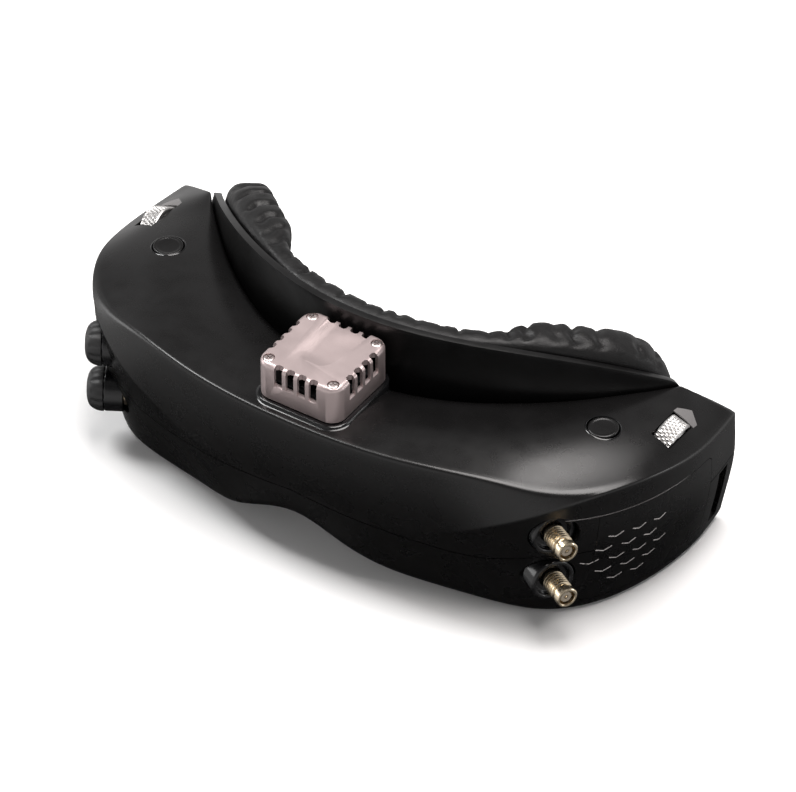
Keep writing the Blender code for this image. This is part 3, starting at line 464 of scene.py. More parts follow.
def spline_at(points, t):
    last = len(points) - 1
    i = min(max(int(t), 0), last - 1)
    u = t - i
    p1, p2 = Vector(points[i]), Vector(points[i + 1])
    p0 = Vector(points[i - 1]) if i else 2 * p1 - p2
    p3 = Vector(points[i + 2]) if i + 2 <= last else 2 * p2 - p1
    return 0.5 * (2 * p1 + (p2 - p0) * u + (2 * p0 - 5 * p1 + 4 * p2 - p3) * u**2
                  + (3 * p1 - p0 - 3 * p2 + p3) * u**3)


def centre_rail(points, t):
    both = [(-x, y, z) for x, y, z in reversed(points[1:])] + list(points)
    return spline_at(both, t + len(points) - 1)


def rail_points(t):
    points = [centre_rail(rail, t)
              for rail in (VALLEY, SHOULDER, CROWN, CREASE, FACET, BELLY, KEEL, HEEL)]
    for point in points:
        point.z = max(point.z, FLOOR_Z)
    return points


def resampled(line, count, trim_start, trim_end):
    """Points at equal steps along a polyline, with its ends trimmed."""
    line = np.array(line)
    lengths = np.concatenate([[0], np.cumsum(np.linalg.norm(np.diff(line, axis=0), axis=1))])
    total = lengths[-1]
    stops = np.linspace(min(trim_start, total * 0.4), total - min(trim_end, total * 0.4), count)
    return np.stack([np.interp(stops, lengths, line[:, k]) for k in range(3)], 1)


# the stretches of a section, with their point counts, and how far each corner's rounding reaches
STRETCHES = {"top": 40, "front": 10, "lower": 24, "bottom": 12, "rear": 6}
CORNER_REACH = {"crease": 1.3, "facet": 0.7, "keel": 2.6, "heel": 0.5, "valley": 0.5}
CORNER_STEPS = 5


def fine_section(t):
    """One closed section with rounded corners, always with the same number of points."""
    valley, shoulder, crown, crease, facet, belly, keel, heel = rail_points(t)
    top = [spline_at((valley, shoulder, crown, crease), i / 12) for i in range(37)]
    for point in top:
        point.y = min(point.y, wall_y(point.x) - PLATE_GAP)
    outward = Vector((0, -1, 0)) * (crease - facet).length * 0.03
    front = [crease.lerp(facet, i / 8) + outward * math.sin(math.pi * i / 8) for i in range(9)]
    lower = [spline_at((facet, belly, keel), i / 10) for i in range(21)]
    lines = [top, front, lower, [keel, heel], [heel, valley]]
    reach = list(CORNER_REACH.values())
    stretches = [resampled([tuple(p) for p in line], count, reach[i - 1], reach[i])
                 for i, (line, count) in enumerate(zip(lines, STRETCHES.values()))]
    corners = [crease, facet, keel, heel, valley]
    ring = []
    for i, stretch in enumerate(stretches):
        ring.extend(stretch)
        after = stretches[(i + 1) % len(stretches)]
        start, end, corner = stretch[-1], after[0], np.array(corners[i])
        for step in range(1, CORNER_STEPS):
            u = step / CORNER_STEPS
            ring.append((1 - u) ** 2 * start + 2 * u * (1 - u) * corner + u * u * end)
    return np.array(ring)


STEPS_PER_STATION = 6
EAR_ROUND = 0.6


def smoothed(grid, rounds=8):
    """Evens out the curvature from section to section."""
    for _ in range(rounds):
        padded = np.concatenate([2 * grid[:1] - grid[1:2], grid, 2 * grid[-1:] - grid[-2:-1]])
        grid = padded[:-2] * 0.25 + padded[1:-1] * 0.5 + padded[2:] * 0.25
    return grid


def loft(bm, rings):
    columns = [[bm.verts.new(point) for point in ring] for ring in rings]
    join_rings(bm, columns)
    for ring in (columns[0], columns[-1]):
        hub = bm.verts.new(sum((vert.co for vert in ring), Vector()) / len(ring))
        for i in range(len(ring)):
            bm.faces.new((ring[i], ring[(i + 1) % len(ring)], hub))
    bmesh.ops.triangulate(bm, faces=bm.faces)
    bmesh.ops.recalc_face_normals(bm, faces=bm.faces)


def body_grid():
    count = STEPS_PER_STATION * LAST
    grid = np.array([fine_section(step / STEPS_PER_STATION) for step in range(-count, count + 1)])
    grid = smoothed(grid)
    grid[:, :, 2] = np.maximum(grid[:, :, 2], FLOOR_Z)
    # more rings close each end in a quarter circle, which rounds the ears' rear edges
    ends = []
    for ring, inner in ((grid[0], grid[1]), (grid[-1], grid[-2])):
        step = ring.mean(0) - inner.mean(0)
        outwards = step / np.linalg.norm(step)
        middle = ring.mean(0)
        pulls = []
        for k in range(1, 4):
            angle = math.pi / 2 * k / 3
            scale_in = EAR_ROUND * (1 - math.cos(angle))
            away = ring - middle
            reach = np.linalg.norm(away, axis=1, keepdims=True)
            pulls.append(ring - away / reach * scale_in + outwards * EAR_ROUND
                         * (math.sin(angle) - 1))
        ends.append(pulls)
    first = grid[0] + (grid[1] - grid[0]) * 0.55
    last = grid[-1] + (grid[-2] - grid[-1]) * 0.55
    return ends[0][::-1] + [first] + list(grid[1:-1]) + [last] + ends[1]


skin_bm = bmesh.new()
loft(skin_bm, [[tuple(point) for point in ring] for ring in body_grid()])
skin = helper("skin", skin_bm, smooth=180)
skin["keep"] = 1
skin_verts = [vert.co.copy() for vert in skin.data.vertices]
skin_normals = [vert.normal.copy() for vert in skin.data.vertices]
skin_faces = [tuple(face.vertices) for face in skin.data.polygons]
skin_tree = BVHTree.FromPolygons(skin_verts, skin_faces)


def skin_normal(place, index):
    """The skin's smooth normal at a point on one of its triangles."""
    a, b, c = (skin_verts[k] for k in skin_faces[index])
    ab, ac, ap = b - a, c - a, place - a
    d00, d01, d11 = ab.dot(ab), ab.dot(ac), ac.dot(ac)
    d20, d21 = ap.dot(ab), ap.dot(ac)
    area = d00 * d11 - d01 * d01
    if abs(area) < 1e-30:
        return skin_normals[skin_faces[index][0]]
    v = min(max((d11 * d20 - d01 * d21) / area, 0), 1)
    w = min(max((d00 * d21 - d01 * d20) / area, 0), 1)
    na, nb, nc = (skin_normals[k] for k in skin_faces[index])
    return (na * (1 - v - w) + nb * v + nc * w).normalized()


def skin_at(x, y):
    """Point and normal of the body's top above (x, y), in design millimetres."""
    hit = skin_tree.ray_cast(world((x, y, 80)), Vector((0, 0, -1)))
    return hit[0] / MM - OFFSET, hit[1]


def side_at(side, y, z):
    """Point and normal of the body's side at (y, z), in design millimetres."""
    hit = skin_tree.ray_cast(world((side * 130, y, z)), Vector((-side, 0, 0)))
    return hit[0] / MM - OFFSET, hit[1]


def restore_normals(obj):
    """Gives what is left of the skin its own smooth normals back after cutting."""
    mesh = obj.data
    mesh.shade_smooth()
    mesh.set_sharp_from_angle(angle=math.radians(32))
    normals = [Vector(corner.vector) for corner in mesh.corner_normals]
    known = {}
    for face in mesh.polygons:
        near, normal, index, distance = skin_tree.find_nearest(face.center)
        if distance > 0.01 * MM or normal.dot(face.normal) < 0.9:
            continue
        for corner in face.loop_indices:
            vertex = mesh.loops[corner].vertex_index
            if vertex not in known:
                place, _, at, _ = skin_tree.find_nearest(mesh.vertices[vertex].co)
                known[vertex] = skin_normal(place, at)
            normals[corner] = known[vertex]
    mesh.normals_split_custom_set([tuple(n) for n in normals])


# ---- the hollow inside -------------------------------------------------------------------
def inset(outline, distances):
    lines = []
    for i, point in enumerate(outline):
        along = (outline[(i + 1) % len(outline)] - point).normalized()
        inward = Vector((-along.y, along.x))
        lines.append((point + inward * distances[i], along))
    moved = []
    for i, (point, along) in enumerate(lines):
        before, direction = lines[i - 1]
        cross = direction.x * along.y - direction.y * along.x
        gap = point - before
        straight = abs(cross) < 0.02
        moved.append(point if straight else
                     before + direction * (gap.x * along.y - gap.y * along.x) / cross)
    return moved


def cavity_section(t, open_back=3.0):
    valley, shoulder, crown, crease, facet, belly, keel, heel = rail_points(t)
    share = smooth_step(((crease - facet).length - 3) / 6)
    crease = (crown * 0.4 + facet * 0.6).lerp(crease, share)
    ring = [valley, shoulder, crown, crease, facet, belly, keel, heel]
    rear = (valley + heel) / 2
    forward = facet - rear
    forward.z = 0
    forward.normalize()
    sideways = Vector((-forward.y, forward.x, 0))
    flat = [Vector((-(point - rear).dot(forward), point.z)) for point in ring]
    moved = inset(flat, [WALL] * (len(ring) - 1) + [-open_back])
    if not flat[0].y - 9 < moved[0].y < flat[0].y - WALL:
        moved[0] = Vector((moved[-1].x, flat[0].y - 9))
    moved_ring = []
    for point, new in zip(ring, moved):
        place = rear - forward * new.x + sideways * (point - rear).dot(sideways)
        moved_ring.append(Vector((place.x, place.y, new.y)))
    return moved_ring


def cavity_bmesh():
    bm = bmesh.new()
    stations = [step / 2 for step in range(2 - 2 * LAST, 2 * LAST - 1)
                if step % 2 == 0 or abs(step) < 6]
    rings = [cavity_section(t) for t in stations]
    for end in (1, -1):
        inner, outer = Vector(VALLEY[-1]), Vector(FACET[-1])
        along = (outer - inner).to_2d().normalized()
        shift = Vector((end * along.y, -along.x, 0)) * WALL
        ring = [point + shift for point in cavity_section(end * LAST)]
        rings = rings + [ring] if end > 0 else [ring] + rings
    loft(bm, rings)
    return bm


cavity = helper("cavity", cavity_bmesh())
cavity["keep"] = 1


def skin_copy(name):
    return new_object(name, skin.data.copy(), SHELL)


# ---- cutters of the shells ---------------------------------------------------------------
def cutter(name, fill, *arguments, **options):
    bm = bmesh.new()
    fill(bm, *arguments, **options)
    return helper(name, bm)


seam = [(-x, z) for x, z in reversed(SEAM_XZ[1:])] + SEAM_XZ
below_outline = [(x, z + GAP / 2) for x, z in seam] + [(110, -40), (-110, -40)]
above_outline = [(x, z - GAP / 2) for x, z in seam] + [(110, 90), (-110, 90)]


def jack_axis(side):
    return Vector((side * math.cos(JACK_TURN), -math.sin(JACK_TURN), 0))


def jack_matrix(side, z):
    turn = jack_axis(side).to_track_quat("Z", "Y").to_matrix().to_4x4()
    return Matrix.Translation((side * JACK[0], JACK[1], z)) @ turn


def wheel_axes(side):
    axle = Vector((math.cos(WHEEL_TILT), 0, -math.sin(WHEEL_TILT)))
    out = Vector((math.sin(WHEEL_TILT), 0, math.cos(WHEEL_TILT)))
    return mirrored(Matrix((axle, Vector((0, 1, 0)), out)).transposed(), side)


def wheel_matrix(side):
    return Matrix.Translation((side * WHEEL[0], WHEEL[1], WHEEL[2])) @ wheel_axes(side).to_4x4()


BOSS_R = 6.6


BUTTON_HOLE_R = 4.75
WHEEL_SLOT = (WHEEL_W + 0.9, 13.8, 9)
DUCT = 2 * 9.8 + 1
STRAP_SLOT_Z, STRAP_SLOT_HEIGHT = 3.25, 19.5
STRAP_SLOTS = (((95.5, 75.5), (14, 5.2)), ((86.7, 82.2), (4.6, 15.6)))
EYE_SLIDE_AT, EYE_SLIDE_SLOT = (48, 24, -10.7), (4.4 + 2 * IPD_TRAVEL + 0.6, 5, 6)
SCREW_SINK_R, SCREW_SINK_DEPTH = 2.5, 1.7
SQUARE_SOCKETS = (((-66, 35), (9, 3.3)), ((-67, 43), (11.4, 3.6)))
ROUND_SOCKETS, ROUND_SOCKET_R, SOCKET_FIT = ((-78.5, 46.5), (-81.0, 57.0)), 4.25, 0.7


def shell_cutters(upper):
    """What is cut out of one shell, in order."""
    outline = below_outline if upper else above_outline
    cuts = [cavity, cutter("seam_cut", add_prism, outline, -110, 30, turn=AXES_XZ),
            cutter("windows", add_prism, COVER_YZ, -112, 112, turn=AXES_YZ)]
    radius = BOSS_R + GAP
    for side in SIDES.values():
        level = JACK_Z[0] if upper else JACK_Z[1]
        cuts.append(cutter("jack_hole", add_turned, [(0, 9), (radius, 9), (radius, -7), (0, -7)],
                           steps=72, matrix=jack_matrix(side, level)))
    if upper:
        cuts.append(cutter("duct", add_box, (DUCT, DUCT, 20), (0, FAN_Y, 40)))
        for side in SIDES.values():
            x, y, z = side * BUTTON[0], BUTTON[1], BUTTON[2]
            cuts.append(cutter("button_hole", add_rod, BUTTON_HOLE_R, (x, y, z - 8),
                               (x, y, z + 5), sides=96))
            cuts.append(cutter("wheel_slot", add_box, WHEEL_SLOT,
                               wheel_matrix(side) @ Vector((0, 0, 6)), turn=wheel_axes(side)))
        return cuts
    for side in SIDES.values():
        for (x, y), (width, depth) in STRAP_SLOTS:
            cuts.append(cutter("strap_slot", add_box, (width, depth, STRAP_SLOT_HEIGHT),
                               (side * x, y, STRAP_SLOT_Z)))
        x, y, z = EYE_SLIDE_AT
        cuts.append(cutter("slide_slot", add_box, EYE_SLIDE_SLOT, (side * x, y, z)))
        for x, y in SHELL_SCREWS:
            cuts.append(cutter("sunk", add_rod, SCREW_SINK_R, (side * x, y, -16),
                               (side * x, y, FLOOR_Z + SCREW_SINK_DEPTH)))
    for (x, y), (width, depth) in SQUARE_SOCKETS:
        cuts.append(cutter("socket_hole", add_box, (width + SOCKET_FIT, depth + SOCKET_FIT, 8),
                           (x, y, FLOOR_Z)))
    for x, y in ROUND_SOCKETS:
        cuts.append(cutter("round_hole", add_rod, ROUND_SOCKET_R, (x, y, FLOOR_Z - 2),
                           (x, y, FLOOR_Z + 4), sides=48))
    return cuts


for shell_name, is_upper in (("upper_shell", True), ("lower_shell", False)):
    shell = applied(skin_copy(f"{shell_name}_skin"), *shell_cutters(is_upper))
    restore_normals(shell)
    settle(shell, "visor", shell_name)


# ---- side covers with their chevron pattern ----------------------------------------------
def inset_outline(outline, distance):
    middle = sum((Vector(point) for point in outline), Vector((0, 0))) / len(outline)
    return [(y + math.copysign(distance, middle.x - y), z + math.copysign(distance, middle.y - z))
            for y, z in outline]


COVER_GAP = 0.14
CHEVRON_ROWS = ((0, 3), (0, 3), (0, 4), (1, 4), (2, 4))
CHEVRON_FIRST = Vector((30.2, 17.1))
CHEVRON_ALONG = Vector((7.15, -0.62))
CHEVRON_DOWN = Vector((-2.8, -4.3))
CHEVRON_ARM = Vector((2.15, 1.1))


def chevron_bmesh(side):
    """Thin lines laid into the cover's surface, two arms to a mark."""
    bm = bmesh.new()
    for row, (first, stop) in enumerate(CHEVRON_ROWS):
        for place in range(first, stop):
            apex = CHEVRON_FIRST + CHEVRON_ALONG * place + CHEVRON_DOWN * row
            for way in (-1, 1):
                start, start_n = side_at(side, apex.x - way * 0.12, apex.y)
                end, end_n = side_at(side, apex.x + way * CHEVRON_ARM.x, apex.y + CHEVRON_ARM.y)
                along = (end - start).normalized()
                out = (start_n + end_n).normalized()
                across = along.cross(out).normalized()
                turn = Matrix((along, across, out)).transposed()
                add_box(bm, ((end - start).length, 0.34, 0.3), (start + end) / 2 - out * 0.11, turn)
    return bm


def add_tube(bm, points, radius, sides=10):
    """A round bead along a line of points."""
    rings = []
    for i, point in enumerate(points):
        along = (points[min(i + 1, len(points) - 1)] - points[max(i - 1, 0)]).normalized()
        across = along.cross(Vector((0, 0, 1))).normalized()
        up = across.cross(along)
        share = min(1, i / 2 + 0.2, (len(points) - 1 - i) / 6 + 0.15)
        rings.append([bm.verts.new(point + (across * math.cos(a) + up * math.sin(a)) * radius * share)
                      for a in (2 * math.pi * k / sides for k in range(sides))])
    join_rings(bm, rings)
    bm.faces.new(rings[0])
    bm.faces.new(rings[-1][::-1])
    bmesh.ops.recalc_face_normals(bm, faces=bm.faces)


# where the painted seam highlight runs, as (y, z) on the body's side
SEAM_HIGHLIGHT_LINE = [(17.2, 27.7), (21, 27.4), (25, 27.05), (35, 26.25), (47, 25.25), (58, 24.45)]


def seam_highlight_bmesh(side):
    """A lighter bead where the side cover meets the upper shell: a painted highlight of the seam's
    edge.
    """
    bm = bmesh.new()
    points = []
    for (y0, z0), (y1, z1) in zip(SEAM_HIGHLIGHT_LINE, SEAM_HIGHLIGHT_LINE[1:]):
        for step in range(8):
            place, normal = side_at(side, y0 + (y1 - y0) * step / 8, z0 + (z1 - z0) * step / 8)
            points.append(place - normal * 0.04)
    add_tube(bm, points, 0.17)
    return bm


for name, side in SIDES.items():
    keep = inset_outline(COVER_YZ, COVER_GAP)
    span = (70, 113) if side > 0 else (-113, -70)
    cover = skin_copy(f"side_cover_{name}_skin")
    inside = cutter("cover_keep", add_prism, keep, *span, turn=AXES_YZ)
    inside["inside"] = 1
    applied(cover, cavity, inside)
    restore_normals(cover)
    settle(cover, "visor", f"side_cover_{name}")
    piece(f"side_pattern_{name}", chevron_bmesh(side), MARKS, "visor", slot="plate")
    # the bead is a painted highlight of the seam's edge
    piece(f"side_trim_{name}", seam_highlight_bmesh(side), PAINTED_SEAM_HIGHLIGHT, "visor", slot="plate", smooth=60)


# ---- fan block ---------------------------------------------------------------------------
def block_bmesh():
    """The cover's outside: a rounded square whose top edge is rounded over."""
    bm = bmesh.new()
    fillet = 1.5
    levels = [(0.25, BLOCK_Z0), (0.0, BLOCK_Z0 + 0.3), (0.0, BLOCK_Z1 - fillet)]
    for step in range(1, 7):
        angle = math.pi / 2 * step / 6
        levels.append((fillet * (1 - math.cos(angle)), BLOCK_Z1 - fillet * (1 - math.sin(angle))))
    rings = []
    for inset_by, z in levels:
        rings.append([bm.verts.new((x, y + FAN_Y, z)) for x, y in
                      rounded_square(BLOCK_HALF - inset_by, BLOCK_R - inset_by * 0.9, 10)])
    join_rings(bm, rings)
    bm.faces.new(rings[0][::-1])
    bm.faces.new(rings[-1])
    bmesh.ops.recalc_face_normals(bm, faces=bm.faces)
    return bm


LOUVRE_PITCH, LOUVRE_HALF = 3.85, 1.3
LOUVRE_INNER, LOUVRE_ROUND, LOUVRE_FOOT = 1.7, 0.6, 6.3
LIP_DROP, LIP = 6.35, 0.7


def louvre_places(along_x):
    """Turn and offset along the side of each slot: four on each of two opposite sides."""
    for sign in (-1, 1):
        for slot in range(4):
            quarter = (0 if sign < 0 else 180) if along_x else (90 if sign > 0 else -90)
            turn = Matrix.Rotation(math.radians(quarter), 3, "Z")
            yield turn, (slot - 1.5) * LOUVRE_PITCH


def louvre_bmesh(along_x):
    """Slots with a rounded end on the top and a square foot."""
    bm = bmesh.new()
    half, inner = LOUVRE_HALF, LOUVRE_INNER
    outline = [(-half, -4), (half, -4), (half, inner - LOUVRE_ROUND), (half * 0.55, inner),
               (-half * 0.55, inner), (-half, inner - LOUVRE_ROUND)]
    for turn, offset in louvre_places(along_x):
        origin = Vector((0, FAN_Y, 0)) + turn @ Vector((offset, -BLOCK_HALF, 0))
        add_prism(bm, outline, BLOCK_Z1 - LOUVRE_FOOT, BLOCK_Z1 + 2, turn=turn, origin=origin)
    return bm


def lip_bmesh(along_x):
    """The chamfer at the foot of each slot."""
    bm = bmesh.new()
    tilt = Matrix.Rotation(math.radians(45), 3, "X")
    for turn, offset in louvre_places(along_x):
        centre = Vector((0, FAN_Y, 0)) + turn @ Vector((offset, -BLOCK_HALF, BLOCK_Z1 - LIP_DROP))
        add_box(bm, (2 * LOUVRE_HALF, LIP, LIP), centre, turn @ tilt)
    return bm


def scoop_bmesh():
    """A shallow wedge: a soft ramp on its right, a step on its left, open at the rear."""
    bm = bmesh.new()
    deep = 1.3
    rows = []
    stations = [(9.2, 2.6, 2.9, 0.35), (10.0, 3.9, 4.0, 0.6), (11.6, 5.0, 5.3, 0.85),
                (14, 5.5, 5.9, deep), (20, 6.3, 6.7, deep), (BLOCK_HALF + FAN_Y + 2, 7.6, 7.8, deep)]
    for y, left, right, depth in stations:
        ramp = min(left * 0.55, 3.2)
        low = BLOCK_Z1 - depth
        rows.append([(-left, y, BLOCK_Z1 + 0.02), (-left + ramp * 0.5, y, BLOCK_Z1 - depth * 0.5),
                     (-left + ramp, y, BLOCK_Z1 - depth * 0.8), (right - 0.05, y, low),
                     (right, y, BLOCK_Z1 + 0.02),
                     (right, y, BLOCK_Z1 + 3), (-left, y, BLOCK_Z1 + 3)])
    columns = [[bm.verts.new(point) for point in row] for row in rows]
    join_rings(bm, columns)
    bm.faces.new(columns[0])
    bm.faces.new(columns[-1][::-1])
    bmesh.ops.triangulate(bm, faces=bm.faces)
    bmesh.ops.recalc_face_normals(bm, faces=bm.faces)
    return bm


corners = [(x, y + FAN_Y) for x in (-SCREW_AT, SCREW_AT) for y in (-SCREW_AT, SCREW_AT)]


def sinks_bmesh():
    """The round recesses for the four screw heads."""
    bm = bmesh.new()
    for x, y in corners:
        add_rod(bm, 1.75, (x, y, BLOCK_Z1 - 1.1), (x, y, BLOCK_Z1 + 1), sides=48)
    return bm


def rounded_edges(obj, width, segments, angle):
    """Bevels the edges sharper than an angle, then shades the rest smooth."""
    edge = obj.modifiers.new("edges", "BEVEL")
    edge.width = width * MM
    edge.segments = segments
    edge.limit_method = "ANGLE"
    edge.angle_limit = math.radians(angle)
    bake(obj)
    obj.data.shade_smooth()
    obj.data.set_sharp_from_angle(angle=math.radians(angle))


COVER_WALL, COVER_TOP = 0.95, 1.8
fan_cover = new_object("fan_cover_metal", mesh_from(block_bmesh(), "fan_cover_metal", 40), BLOCK)
hollow = cutter("hollow", add_prism, rounded_square(BLOCK_HALF - COVER_WALL, 3.3, 6),
                BLOCK_Z0 - 2, BLOCK_Z1 - COVER_TOP, origin=(0, FAN_Y, 0))
# the hollow's faces take the near-black painted shade
hollow.data.materials.append(BLOCK_PAINTED_SHADE)
applied(fan_cover, hollow, helper("scoop", scoop_bmesh()),
        helper("louvres_x", louvre_bmesh(True)), helper("louvres_y", louvre_bmesh(False)),
        helper("lips_x", lip_bmesh(True)), helper("lips_y", lip_bmesh(False)),
        helper("sinks", sinks_bmesh()))
rounded_edges(fan_cover, width=0.12, segments=2, angle=40)
settle(fan_cover, "visor", "fan_cover")

for number, (x, y) in enumerate(corners, 1):
    bm = bmesh.new()
    head = fillet_profile([(0, 54.32), (1.15, 54.3), (1.6, 54.0), (1.6, 53.35), (0, 53.35)],
                          [0, 0.3, 0.2, 0, 0])
    add_turned(bm, head, steps=48, matrix=Matrix.Translation((x, y, 0)))
    screw_name = f"fan_screw_{number}_head"
    screw = new_object(screw_name, mesh_from(bm, screw_name), STEEL)
    turn = Matrix.Rotation(math.radians(20 + 37 * number), 3, "Z")
    applied(screw, *[cutter("drive", add_box, size, (x, y, 54.5), turn=turn)
                     for size in ((2.0, 0.42, 1.3), (0.42, 2.0, 1.3))])
    screw.data.set_sharp_from_angle(angle=math.radians(32))
    settle(screw, "visor", f"fan_screw_{number}")


def plinth_bmesh():
    """The black base under the block: its foot flares out onto the body."""
    bm = bmesh.new()
    top = 41.8
    bands = [(9.8, top - 0.35), (9.8, top), (14.4, top), (14.65, top - 0.06), (14.8, top - 0.22)]
    loops = []
    for half, z in bands:
        loops.append([(x, y + FAN_Y, z) for x, y in rounded_square(half, min(5.5, half * 0.38), 10)])
    flare = [(14.8, 0.55), (14.85, 0.3), (15.05, 0.12), (15.45, 0.02), (15.45, -0.6), (9.8, -0.6)]
    for half, lift in flare:
        ring = []
        for x, y in rounded_square(half, min(5.5 + half - 14.8 if half > 14 else 3.7, 7), 10):
            place, _ = skin_at(x, min(y + FAN_Y, wall_y(x) - 1.0))
            reach = max(top - 0.3 - place.z, 0.05)
            ring.append((x, min(y + FAN_Y, wall_y(x) - 0.6), place.z + min(lift, reach)))
        loops.append(ring)
    columns = [[bm.verts.new(point) for point in ring] for ring in loops]
    join_rings(bm, columns, closed=True)
    bmesh.ops.recalc_face_normals(bm, faces=bm.faces)
    return bm


piece("fan_plinth_trim", plinth_bmesh(), GLOSS, "visor", "fan_plinth", smooth=50)


# ---- buttons, jog wheels, jacks and caps -------------------------------------------------
for name, side in SIDES.items():
    x, y, z = side * BUTTON[0], BUTTON[1], BUTTON[2]
    bm = bmesh.new()
    top = fillet_profile([(0, -0.12), (3.2, -0.05), (3.75, 0.12), (4.35, 0.02), (4.42, -0.5),
                          (4.42, -3.6), (5.3, -3.6), (5.3, -4.6), (1.6, -4.6), (1.6, -6), (0, -6)],
                         [0, 0.5, 0.3, 0.25, 0.3, 0, 0, 0, 0, 0, 0])
    add_turned(bm, top, steps=96, matrix=Matrix.Translation((x, y, z)))
    piece(f"button_{name}_cap", bm, SHELL, f"button_{name}", f"button_{name}")

    # the thin raised ring in the shell round the button
    bm = bmesh.new()
    rings = []
    for radius, lift in ((4.76, -0.5), (4.76, 0.05), (4.86, 0.16), (5.02, 0.14), (5.25, -0.02),
                         (5.25, -0.5)):
        ring = []
        for i in range(96):
            angle = 2 * math.pi * i / 96
            px, py = x + radius * math.cos(angle), y + radius * math.sin(angle)
            place, _ = skin_at(px, py)
            ring.append(bm.verts.new((px, py, place.z + lift)))
        rings.append(ring)
    join_rings(bm, rings, closed=True)
    bmesh.ops.recalc_face_normals(bm, faces=bm.faces)
    piece(f"button_{name}_surround", bm, GLOSS, "visor", smooth=40, slot="shell")

TURNED_TO_AXLE = Matrix(((0, 0, 1), (0, 1, 0), (-1, 0, 0))).to_4x4()
KNURL_TEETH, KNURL_DEPTH, KNURL_SLANT = 38, 0.42, 0.62


def knurled(radius, height, angle):
    """Crossed slanting ridges round the middle of the wheel's rim."""
    if radius < WHEEL_R - 0.3 or abs(height) > WHEEL_W / 2 - 0.35:
        return radius
    one = abs(math.sin(KNURL_TEETH / 2 * angle + height * KNURL_SLANT * KNURL_TEETH / WHEEL_R / 2))
    two = abs(math.sin(KNURL_TEETH / 2 * angle - height * KNURL_SLANT * KNURL_TEETH / WHEEL_R / 2))
    return radius - KNURL_DEPTH * (1 - min(one, two) * 1.25 if min(one, two) < 0.8 else 0)


for name, side in SIDES.items():
    bm = bmesh.new()
    half = WHEEL_W / 2
    rows = 17
    rim = [(WHEEL_R, half - 0.3 - (WHEEL_W - 0.6) * i / (rows - 1)) for i in range(rows)]
    profile = [(1.05, half), (5.2, half), (5.6, half - 0.35), (6.3, half - 0.35), (6.6, half),
               (WHEEL_R - 0.35, half), *rim, (WHEEL_R - 0.35, -half), (6.6, -half),
               (6.3, 0.35 - half), (5.6, 0.35 - half), (5.2, -half), (1.05, -half)]
    add_turned(bm, profile, steps=304, matrix=wheel_matrix(side) @ TURNED_TO_AXLE,
               radius_at=knurled)
    piece(f"jog_wheel_{name}_knurled", bm, KNURL, f"wheel_{name}", f"jog_wheel_{name}", smooth=28)

# the outline of the painted highlight patch behind each wheel, in the wheel's frame
RECESS_HIGHLIGHT_OUTLINE = [(-3.5, 5.7), (3.5, 5.7), (3.5, 7.6), (-0.2, 10.6), (-3.5, 7.6)]
EDGE_STEPS = 6
# a thin lighter plate on the top behind each wheel: painted highlight of the finger relief
for name, side in SIDES.items():
    bm = bmesh.new()
    matrix = wheel_matrix(side)
    edge_points = []
    for (u0, v0), (u1, v1) in zip(RECESS_HIGHLIGHT_OUTLINE, RECESS_HIGHLIGHT_OUTLINE[1:] + RECESS_HIGHLIGHT_OUTLINE[:1]):
        for step in range(EDGE_STEPS):
            share = step / EDGE_STEPS
            edge_points.append(matrix @ Vector((side * (u0 + (u1 - u0) * share),
                                                v0 + (v1 - v0) * share, 5.5)))
    middle = sum(edge_points, Vector()) / len(edge_points)
    rings = []
    for share, lift in ((1, -0.4), (1, 0.05), (0.95, 0.14), (0.7, 0.12), (0.45, 0.12), (0.2, 0.12)):
        ring = []
        for point in edge_points:
            x, y = middle.lerp(point, share).xy
            ring.append(bm.verts.new((x, y, skin_at(x, y)[0].z + lift)))
        rings.append(ring)
    join_rings(bm, rings)
    bm.faces.new(rings[0])
    bm.faces.new(rings[-1])
    bmesh.ops.recalc_face_normals(bm, faces=bm.faces)
    piece(f"wheel_index_{name}", bm, PAINTED_RECESS_HIGHLIGHT, "visor", slot="wheel", smooth=30)

